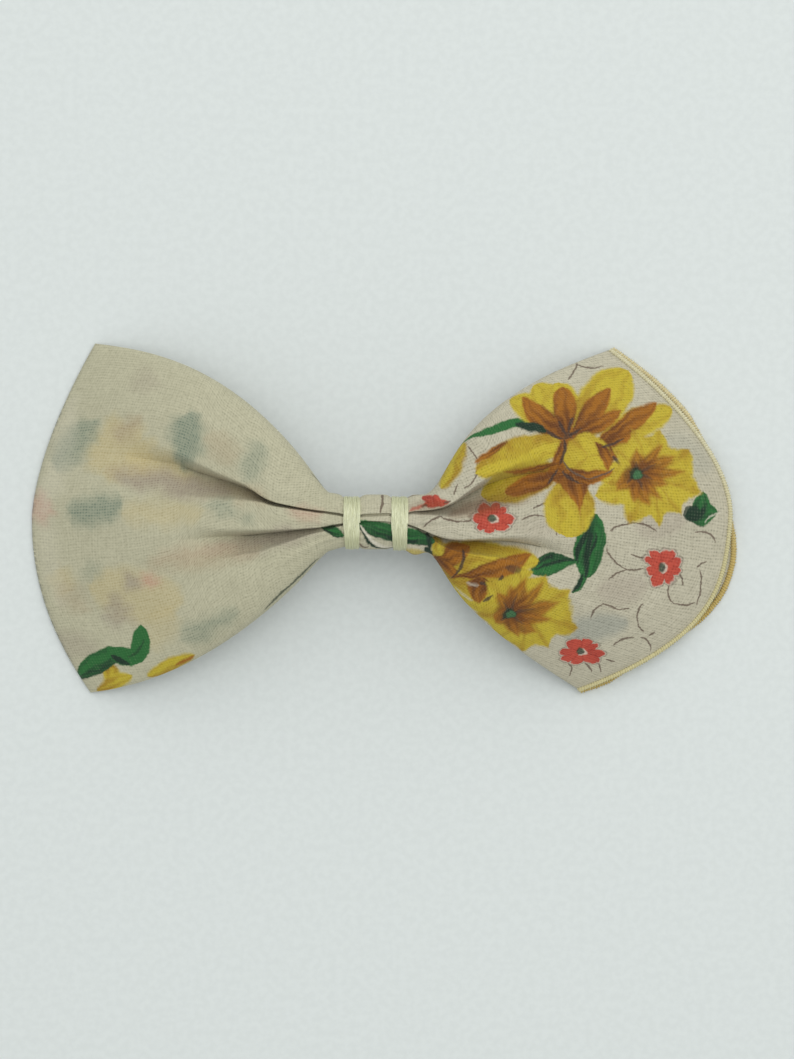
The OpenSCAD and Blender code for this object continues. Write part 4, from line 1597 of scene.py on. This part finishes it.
    def base_z(self, side: int, value: float, x: Array) -> Array:
        """Finds the height of the middle between front and back.

        Args:
            side: The row's side.
            value: Its part of the wing or its x.
            x: Places of its points along the bow.

        Returns:
            The height at each of them.
        """
        if side == 0:
            return self.bar.over(x) + self.bar.seat_gap + self.back_drop
        seat = float(self.bar.over(self.left.neck_half)) + self.bar.seat_gap + self.back_drop
        return np.full_like(x, mix(seat, self.wing(side).tip_z, value ** 1.7))

    def fold_end(self, side: int, s: float) -> float:
        """Finds how thick the fold still is, since the left end thins.

        Args:
            side: The row's side.
            s: Its part of the wing's length.

        Returns:
            The part of its thickness that is left.
        """
        if side >= 0:
            return 1.0
        near = max(0.0, (s - self.fold_from) / self.fold_length)
        return max(self.fold_least, math.sqrt(max(0.0, 1 - near ** 2)))

    def plan_row(self, side: int, value: float, t: Array) -> tuple[Array, Array]:
        """Places a row in plan.

        Args:
            side: The row's side.
            value: Its part of the wing or its x.
            t: Parts of its height.

        Returns:
            The x and y of its points.
        """
        if side == 0:
            return np.full_like(t, value), t * self.left.neck_width
        return self.wing(side).plan(np.array(value), t)

    def wrinkles(self, s: float, t: Array, x: Array, y: Array) -> tuple[Array, Array]:
        """Lifts the front in small waves.

        Args:
            s: The row's part of the wing's length.
            t: Parts of its height.
            x: Places along the bow.
            y: Places across it.

        Returns:
            The heights of the fine waves at the neck and of the slack ones further out.
        """
        fine = 0.13 * np.sin(19 * t + 0.6) + 0.09 * np.sin(33 * t + 2.1 + 4 * s)
        slack = 0.3 * np.sin(0.11 * x + 0.17 * y + 1.0) + 0.22 * np.sin(0.23 * y - 0.13 * x + 2.4)
        slack = slack + 0.1 * np.sin(0.52 * y + 0.21 * x)
        return math.exp(-s / 0.2) * fine, float(ease(0.1, 0.5, s)) * slack

    def front_row(self, side: int, value: float) -> Array:
        """Places one row of the front.

        Args:
            side: The row's side.
            value: Its part of the wing or its x.

        Returns:
            The row's points in millimetres from the neck.
        """
        creases = self.crease_parts(side, value)
        t, tucked = self.columns(*creases)
        s = 0.0 if side == 0 else value
        x, y = self.plan_row(side, value, t)
        reach = float(y[-1] - y[0]) / 2
        rim = rounded(t, mix(2.0, 2.6, float(ease(0.0, 0.3, s))))
        thin = rounded(t, self.thin_power)
        end = self.fold_end(side, s)
        crown = self.neck_rise * (1 - s) ** 2 + self.puff * math.sin(math.pi * s ** 0.8)
        z = self.base_z(side, value, x) + self.front_lift * thin * end + crown * rim
        if side > 0:
            z = z + self.mouth_gap * float(ease(0.55, 1.0, s)) * mix(1.0, thin, 0.5)
        fine, slack = self.wrinkles(s, t, x, y)
        z = z + rim * fine + rim * end * slack
        shift = np.zeros_like(y)
        for t_at, crease, place in zip(creases, (self.lower, self.upper), tucked):
            fall, lean = crease.fall((t - t_at) * reach, x)
            order = place.astype(int) - 1
            under = np.where(order >= 0, crease.read(crease.tuck, x), 0.0)
            z = z - fall * np.minimum(rim * 1.5, 1.0)
            z = z + self.tuck_thick * np.array(self.tuck_layer)[order] * np.minimum(under, 1.0)
            shift = shift - lean + under * np.array(self.tuck_reach)[order]
        for at in self.lashed:
            z = z - self.lash_depth * hump(x, at, self.lash_wide, 4) * rim
        return np.stack([x, y + shift + self.drawn_in(x, y, t), z], axis=1)

    def drawn_in(self, x: Array, y: Array, t: Array) -> Array:
        """Shifts the cloth across the bow where the bindings squeeze it and where it bulges beside them.

        Args:
            x: Places along the bow.
            y: Places across it.
            t: Parts of the row's height.

        Returns:
            The shift of each point across the bow.
        """
        squeeze = sum(hump(x, at, self.lash_wide, 4) for at in self.lashed)
        bulge = 1.1 * hump(x, 7.8, 2.4) * ease(-0.4, -1.0, t)
        bulge = bulge - 0.4 * hump(x, -9.6, 2.2) * t
        bulge = bulge - 0.3 * hump(x, -7.2, 1.6) * ease(0.0, -1.0, t)
        return -squeeze * y * np.where(y > 0, self.lash_draw[1], self.lash_draw[0]) - bulge

    def back_row(self, side: int, value: float, t: Array) -> Array:
        """Places one row of the back.

        Args:
            side: The row's side.
            value: Its part of the wing or its x.
            t: Parts of its height.

        Returns:
            The row's points in millimetres from the neck.
        """
        s = 0.0 if side == 0 else value
        x, y = self.plan_row(side, value, t)
        if side > 0:
            shown = np.interp(t, [row[0] for row in self.peek], [row[1] for row in self.peek])
            x = x + shown * float(ease(0.6, 1.0, s))
        thin = rounded(t, self.thin_power)
        z = self.base_z(side, value, x) - (self.back_drop - 0.25 * s) * thin * self.fold_end(side, s)
        slack = float(ease(0.15, 0.6, s)) * (1 - float(ease(0.8, 1.0, s))) * thin
        z = z + slack * (0.35 + 0.3 * np.sin(0.19 * y + 0.1 * x))
        return np.stack([x, y + self.drawn_in(x, y, t), z], axis=1)

    def grid(self, points: Array) -> Array:
        """Turns plan millimetres into the print's grid."""
        return np.stack([GRID_NECK[0] + points[:, 0] / STEP, GRID_NECK[1] - points[:, 1] / STEP], axis=1)

    def woven(self, side: int, value: float, row: Array) -> Array:
        """Finds where a row's points lie along and across the threads, which fan out from the neck.

        Args:
            side: The row's side.
            value: Its part of the wing or its x.
            row: The row's points.

        Returns:
            Their places in steps of the print's grid.
        """
        along = value if side == 0 else side * mix(self.left.neck_half, self.left.reach, value)
        run = run_along(row)
        across = (run - run[-1] / 2) * (self.flat_width / run[-1]) ** self.fan
        return np.stack([np.full_like(across, along), across], axis=1) / STEP

    def unrolled(self, row: Array) -> Array:
        """Gives a front row's print points, with the steep rims rolled flat.

        Args:
            row: The row's points.

        Returns:
            Its points on the print's grid.
        """
        flat = row[:, :2].copy()
        rims = max(6, self.lobe_columns // 6)
        for order in (slice(None, None, 1), slice(None, None, -1)):
            part = row[order][:rims]
            step = np.linalg.norm(np.diff(part[:, 1:], axis=0), axis=1)
            away = np.sign(part[0, 1] - part[-1, 1])
            rolled = np.concatenate((np.cumsum(step[::-1])[::-1], [0.0]))
            view = flat[order]
            view[:rims, 1] = part[-1, 1] + away * rolled
        return self.grid(flat)

    def build(self) -> tuple[Piece, Array, Array]:
        """Makes the cloth.

        Returns:
            The piece, the front's right end and the back's right end, in millimetres from the neck.
        """
        fronts, backs, front_grid, back_grid, front_run, back_run = [], [], [], [], [], []
        back_t = np.sin(np.linspace(-1, 1, self.back_columns) * math.pi / 2)
        for side, value in self.stations():
            fronts.append(self.front_row(side, value))
            front_grid.append(self.unrolled(fronts[-1]))
            backs.append(self.back_row(side, value, back_t))
            back_grid.append(self.grid(backs[-1]))
            front_run.append(self.woven(side, value, fronts[-1]))
            back_run.append(self.woven(side, value, backs[-1]))
        front_count, back_count = fronts[0].shape[0], backs[0].shape[0]
        loop = front_count + back_count
        grids = looped(front_grid, back_grid)
        weave = looped(front_run, back_run)
        faces, corners, threads, behind = [], [], [], []
        for row in range(len(fronts) - 1):
            here, there = row * loop, (row + 1) * loop
            for column in range(loop):
                after = (column + 1) % loop
                face = [here + column, here + after, there + after, there + column]
                drawn = list(face)
                if column == front_count - 1:
                    drawn = [face[0], face[0], face[3], face[3]]
                elif column == loop - 1:
                    drawn = [face[1], face[1], face[2], face[2]]
                faces.append(face[::-1])
                corners.append(grids[drawn[::-1]])
                threads.append(weave[drawn[::-1]])
                behind.append(front_count <= column < loop - 1)
        for column in range(front_count - 1):
            back_from = loop - 1 - int(round(column * (back_count - 1) / (front_count - 1)))
            back_to = loop - 1 - int(round((column + 1) * (back_count - 1) / (front_count - 1)))
            face = [column, column + 1, back_to] + ([back_from] if back_from != back_to else [])
            faces.append(face)
            drawn = [column, column + 1, column + 1] + ([column] if len(face) == 4 else [])
            corners.append(grids[drawn])
            threads.append(weave[drawn])
            behind.append(False)
        piece = new_mesh("bow_cloth", looped(fronts, backs) + NECK_AT, faces)
        smooth = np.ones(len(faces), dtype=bool)
        smooth[1 - front_count:] = False
        piece.data.polygons.foreach_set("use_smooth", smooth)
        give_layer(piece, "print_grid", np.concatenate(corners) / GRID_LAYER)
        give_layer(piece, "weave_run", np.concatenate(threads) / GRID_LAYER)
        self.middles = np.array([corner.mean(axis=0) for corner in corners])
        self.is_back = np.array(behind)
        return piece, fronts[-1], backs[-1]

    def stretches(self, motifs: Sequence[Motif], area: Box) -> list[Box]:
        """Splits an area until no part of it holds too many printed shapes for one material.

        Args:
            motifs: The print's shapes.
            area: Grid corners of the area.

        Returns:
            Grid corners of its parts.
        """
        held = [motif.reach() for motif in motifs if touches(motif.reach(), area)]
        if len(held) <= self.most_shapes:
            return [area]
        xs = [(box[0] + box[2]) / 2 for box in held]
        ys = [(box[1] + box[3]) / 2 for box in held]
        if np.ptp(xs) > np.ptp(ys):
            cut = float(np.clip(np.median(xs), area[0] + self.least_stretch, area[2] - self.least_stretch))
            halves = ((*area[:2], cut, area[3]), (cut, *area[1:]))
        else:
            cut = float(np.clip(np.median(ys), area[1] + self.least_stretch, area[3] - self.least_stretch))
            halves = ((*area[:3], cut), (area[0], cut, *area[2:]))
        return [part for half in halves for part in self.stretches(motifs, half)]

    def dress(self, piece: Piece, effects: Effects) -> None:
        """Prints the cloth, one material for each stretch of it.

        Args:
            piece: The cloth.
            effects: Shared groups.
        """
        drawing = FloralPrint()
        finish = CottonFinish()
        wide, tall = GRID_SIZE
        wholes = (
            ("left_wing", drawing.left(), (0.0, 0.0, GRID_SEAM, tall), False),
            ("right_wing", drawing.right(), (GRID_SEAM, 0.0, wide, tall), False),
            ("back", drawing.back(), (0.0, 0.0, wide, tall), True),
        )
        chosen = np.zeros(len(piece.data.polygons), dtype=np.int32)
        for name, motifs, whole, behind in wholes:
            for number, area in enumerate(self.stretches(motifs, whole)):
                material = finish.material(f"cotton_{name}_{number}", effects, motifs, area)
                inside = (self.middles[:, 0] >= area[0]) & (self.middles[:, 0] < area[2])
                inside &= (self.middles[:, 1] >= area[1]) & (self.middles[:, 1] < area[3])
                chosen[inside & (self.is_back == behind)] = len(piece.data.materials)
                piece.data.materials.append(material)
        piece.data.polygons.foreach_set("material_index", chosen)


@dataclass
class ThreadWork:
    """A piece made of thread, with the node that it replaces."""

    name: str
    replaces: str
    finish: ThreadFinish

    def dress(self, piece: Piece, effects: Effects) -> None:
        """Gives the piece its thread's finish."""
        piece.data.materials.append(self.finish.material(effects))


@dataclass
class Hem(ThreadWork):
    """An overlocked edge: a soft core wound with thread."""

    wide: float = 0.44
    high: float = 0.3
    pitch: float = 0.52
    thread: float = 0.13
    out: float = 0.32
    margin: float = 0.15
    step: float = 0.06
    smoothing: int = 23

    def build(self, edge: Array) -> Piece:
        """Makes the hem along an edge.

        Args:
            edge: The cloth's end row, in millimetres from the neck.

        Returns:
            The piece.
        """
        run = run_along(edge)
        even = np.arange(self.margin, run[-1] - self.margin, self.step)
        path = sampled(edge, run, even)
        weight = np.hanning(self.smoothing)
        weight /= weight.sum()
        spare = self.smoothing // 2
        padded = np.pad(path, ((spare, spare), (0, 0)), mode="edge")
        path = np.stack([np.convolve(padded[:, axis], weight, mode="valid") for axis in range(3)], axis=1)
        heading = np.gradient(path, axis=0)
        outward = np.stack([heading[:, 1], -heading[:, 0], np.zeros(len(path))], axis=1)
        outward /= np.linalg.norm(outward, axis=1, keepdims=True)
        upward = np.cross(outward, heading / np.linalg.norm(heading, axis=1, keepdims=True))
        upward *= np.sign(upward[:, 2:3])
        middle = path + self.out * outward + NECK_AT
        strand = Strand()
        strand.add(middle[::5], self.wide * 0.82, 10, self.high / self.wide, upward[::5])
        turn = 2 * math.pi * even / self.pitch
        wobble = 1 + 0.05 * np.sin(even * 2.3) + 0.04 * np.sin(even * 7.1 + 1)
        wound = middle + (self.wide * wobble * np.cos(turn))[:, None] * outward
        wound = wound + (self.high * np.sin(turn))[:, None] * upward
        strand.add(wound, self.thread, 5)
        return strand.piece(self.name)


@dataclass
class Binding(ThreadWork):
    """A winding of pale floss round the neck and the clip bar."""

    at: float
    turns: int = 7
    pitch: float = 0.43
    ply: float = 0.145
    plies: int = 3
    twist: float = 12.0
    points: int = 180
    smoothing: int = 10

    def loop(self, section: Array, bar: ClipArc) -> Array:
        """Finds the taut loop round the neck and the bar.

        Args:
            section: The cloth's points at the binding, in millimetres from the neck.
            bar: The clip bar.

        Returns:
            Its points across and up, starting under the bar.
        """
        under = float(bar.below(self.at))
        held = section[:, 1:].tolist()
        held += [[-bar.width / 2, under], [bar.width / 2, under], [0.0, under - 0.02]]
        held.sort()
        chains = []
        for order in (held, held[::-1]):
            chain: list[list[float]] = []
            for spot in order:
                while len(chain) > 1:
                    ahead = (chain[-1][0] - chain[-2][0], chain[-1][1] - chain[-2][1])
                    behind = (spot[0] - chain[-2][0], spot[1] - chain[-2][1])
                    if ahead[0] * behind[1] - ahead[1] * behind[0] > 0:
                        break
                    chain.pop()
                chain.append(spot)
            chains.append(chain[:-1])
        hull = np.array(chains[0] + chains[1])
        first = int(np.argmin(np.abs(hull[:, 0]) + (hull[:, 1] > under + 0.01) * 100))
        hull = np.roll(hull, -first, axis=0)
        closed = np.concatenate((hull, hull[:1]))
        run = run_along(closed)
        loop = sampled(closed, run, np.linspace(0, run[-1], self.points, endpoint=False))
        for _ in range(self.smoothing):
            loop = 0.5 * loop + 0.25 * (np.roll(loop, 1, axis=0) + np.roll(loop, -1, axis=0))
        return loop

    def build(self, section: Array, bar: ClipArc) -> Piece:
        """Makes the winding.

        Args:
            section: The cloth's points at the binding, in millimetres from the neck.
            bar: The clip bar.

        Returns:
            The piece.
        """
        loop = self.loop(section, bar)
        heading = np.roll(loop, -1, axis=0) - np.roll(loop, 1, axis=0)
        heading /= np.linalg.norm(heading, axis=1, keepdims=True)
        outward = np.stack([heading[:, 1], -heading[:, 0]], axis=1)
        count = len(loop)
        steps = np.arange(self.turns * count + 1)
        spot = loop[steps % count]
        out = outward[steps % count]
        part = steps / count
        lift = 2 * self.ply + 0.03 + 0.03 * np.sin(part * 5.3) + 0.02 * np.sin(part * 17.0)
        tight = 1 - 0.16 * ease(-1.0, -6.0, spot[:, 0]) - 0.05 * ease(3.0, 6.0, spot[:, 0])
        spread = (part - self.turns / 2) * self.pitch * tight
        x = self.at + spread + 0.05 * np.sin(part * 9.1) + 0.03 * np.sin(part * 23.0)
        middle = np.stack([x, spot[:, 0] + out[:, 0] * lift, spot[:, 1] + out[:, 1] * lift], axis=1)
        normal = np.stack([np.zeros(len(steps)), out[:, 0], out[:, 1]], axis=1)
        along = np.array([1.0, 0.0, 0.0])
        run = run_along(middle)
        strand = Strand()
        for ply in range(self.plies):
            turn = 2 * math.pi * (run / self.twist + ply / self.plies)
            ring = self.ply * (1.02 * np.cos(turn)[:, None] * along + 0.8 * np.sin(turn)[:, None] * normal)
            strand.add(middle + ring + NECK_AT, self.ply * 0.92, 6)
        inner = middle + (self.pitch / 2) * along - self.ply * 0.9 * normal + NECK_AT
        strand.add(inner[: 1 - count // 2 : 2], self.ply * 1.5, 6, 0.6, normal[: 1 - count // 2 : 2])
        return strand.piece(self.name)


@dataclass
class SpringClip:
    """The steel clip under the bow, whose solids come from model.glb."""

    bright: SteelFinish = SteelFinish("nickel_steel", ink(196, 194, 190), ink(170, 168, 165))
    blued: SteelFinish = SteelFinish("spring_steel", ink(178, 177, 176), ink(146, 146, 147), 0.36)
    plated: tuple[str, ...] = ("clip_bar", "clasp_arm", "hinge_pin", "catch_rivet")
    sprung: tuple[str, ...] = ("tension_strip", "catch_base", "upper_prong", "lower_prong")

    def dress(self) -> None:
        """Gives the clip's solids their steel."""
        for finish, names in ((self.bright, self.plated), (self.blued, self.sprung)):
            material = finish.material()
            for name in names:
                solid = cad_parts[name]
                solid.data.materials.clear()
                solid.data.materials.append(material)
                LOG.info("%s: %s", name, finish.name)


@dataclass(frozen=True)
class Lamp:
    """A soft square lamp turned towards the bow, in metres and watts."""

    name: str
    place: tuple[float, float, float]
    size: float
    power: float

    def build(self) -> None:
        """Hangs the lamp."""
        data = bpy.data.lights.new(self.name, "AREA")
        data.size = self.size
        data.energy = self.power
        lamp = bpy.data.objects.new(self.name, data)
        lamp.location = self.place
        x, y, z = self.place
        lamp.rotation_euler = (math.atan2(-y, z), math.atan2(x, z), 0.0)
        bpy.context.scene.collection.objects.link(lamp)


@dataclass
class Studio:
    """Camera, floor and light, in millimetres except for the lamps."""

    centre: Flat = (2.3, -2.3)
    height: float = 620.0
    picture: float = GRID_SIZE[1] * STEP
    plane: float = 4.0
    floor_half: float = 900.0
    floor_z: float = -0.05
    paper: Colour = ink(218, 223, 221)
    paper_shade: Colour = ink(214, 219, 217)
    sky: Colour = (0.97, 1.0, 0.995, 1.0)
    sky_power: float = 0.62
    lamps: tuple[Lamp, ...] = (
        Lamp("window", (0.26, 0.7, 0.8), size=1.4, power=5.2),
        Lamp("ceiling", (0.12, 0.05, 1.1), size=1.0, power=3.1),
    )

    def camera(self) -> None:
        """Places the camera straight above the bow."""
        data = bpy.data.cameras.new("camera")
        data.sensor_fit = "VERTICAL"
        data.angle = 2 * math.atan(self.picture / 2 / (self.height - self.plane))
        data.clip_start = 0.01
        camera = bpy.data.objects.new("camera", data)
        camera.location = (self.centre[0] * MM, self.centre[1] * MM, self.height * MM)
        bpy.context.scene.collection.objects.link(camera)
        bpy.context.scene.camera = camera

    def floor(self) -> None:
        """Lays a pale sheet of paper under the bow."""
        corners = ((-1, -1), (1, -1), (1, 1), (-1, 1))
        points = np.array([(x * self.floor_half, y * self.floor_half, self.floor_z) for x, y in corners])
        piece = new_mesh("paper_floor", points, [[0, 1, 2, 3]])
        net = Surface("white_paper")
        place = net.node("ShaderNodeTexCoord").outputs["Object"]
        tone = net.span(net.noise(place, scale=700.0, detail=2.0), 0.3, 0.7)
        net.dress(Base_Color=net.blend(tone, self.paper_shade, self.paper))
        net.dress(Roughness=0.9, Specular_IOR_Level=0.1)
        clear = net.node("ShaderNodeBsdfTransparent")
        under = net.node("ShaderNodeMixShader")
        net.feed(under.inputs[0], net.node("ShaderNodeNewGeometry").outputs["Backfacing"])
        net.feed(under.inputs[1], net.shader.outputs[0])
        net.feed(under.inputs[2], clear.outputs[0])
        net.feed(net.output.inputs["Surface"], under.outputs[0])
        piece.data.materials.append(net.material)

    def light(self) -> None:
        """Lights the scene softly, a little more from the far side."""
        world = bpy.data.worlds.new("soft_room")
        world.use_nodes = True
        sky = world.node_tree.nodes["Background"]
        sky.inputs["Color"].default_value = self.sky
        sky.inputs["Strength"].default_value = self.sky_power
        bpy.context.scene.world = world
        for lamp in self.lamps:
            lamp.build()

    def build(self) -> None:
        """Sets up the whole studio."""
        bpy.context.scene.view_settings.view_transform = "Standard"
        self.camera()
        self.floor()
        self.light()


def main() -> None:
    """Builds the studio and the bow, and reports each piece."""
    logging.basicConfig(level=logging.INFO, format="%(message)s")
    Studio().build()
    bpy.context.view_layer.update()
    effects = Effects()
    cloth = BowCloth()
    piece, front_end, back_end = cloth.build()
    cloth.dress(piece, effects)
    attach(piece, "bow")
    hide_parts("front_leaf", "back_leaf")
    LOG.info("bow_cloth: %d faces", len(piece.data.polygons))

    pale = ThreadFinish("pale_hem_thread", ink(212, 204, 158), ink(188, 178, 132), lay=0.9, roughness=0.75,
                        far=ink(224, 219, 190))
    golden = ThreadFinish("golden_hem_thread", ink(210, 188, 118), ink(180, 154, 86), lay=0.9, roughness=0.75,
                          far=ink(232, 224, 184))
    front = Hem("front_hem_stitches", "front_hem", pale)
    back = Hem("back_hem_stitches", "back_hem", golden, wide=0.58, thread=0.15, out=0.4)
    for hem, edge in ((front, front_end), (back, back_end)):
        made = hem.build(edge)
        hem.dress(made, effects)
        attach(made, "bow")
        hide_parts(hem.replaces)
        LOG.info("%s: %d faces", hem.name, len(made.data.polygons))

    # The floss's second light colour is painted shade towards the neck's upper and lower edges
    floss = ThreadFinish("pale_floss", ink(230, 231, 197), ink(188, 190, 149), lay=0.35, roughness=0.34,
                         sheen=0.04, gloss=1.0, wear_and_painted_shade=ink(200, 201, 164))
    names = (("left_floss", "left_binding"), ("right_floss", "right_binding"))
    for (name, node), at in zip(names, cloth.lashed):
        binding = Binding(name, node, floss, at)
        section = np.concatenate((cloth.front_row(0, at), cloth.back_row(0, at, np.linspace(-1, 1, 30))))
        made = binding.build(section, cloth.bar)
        binding.dress(made, effects)
        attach(made, "bow")
        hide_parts(node)
        LOG.info("%s: %d faces", name, len(made.data.polygons))

    SpringClip().dress()


if __name__ == "__main__":
    main()
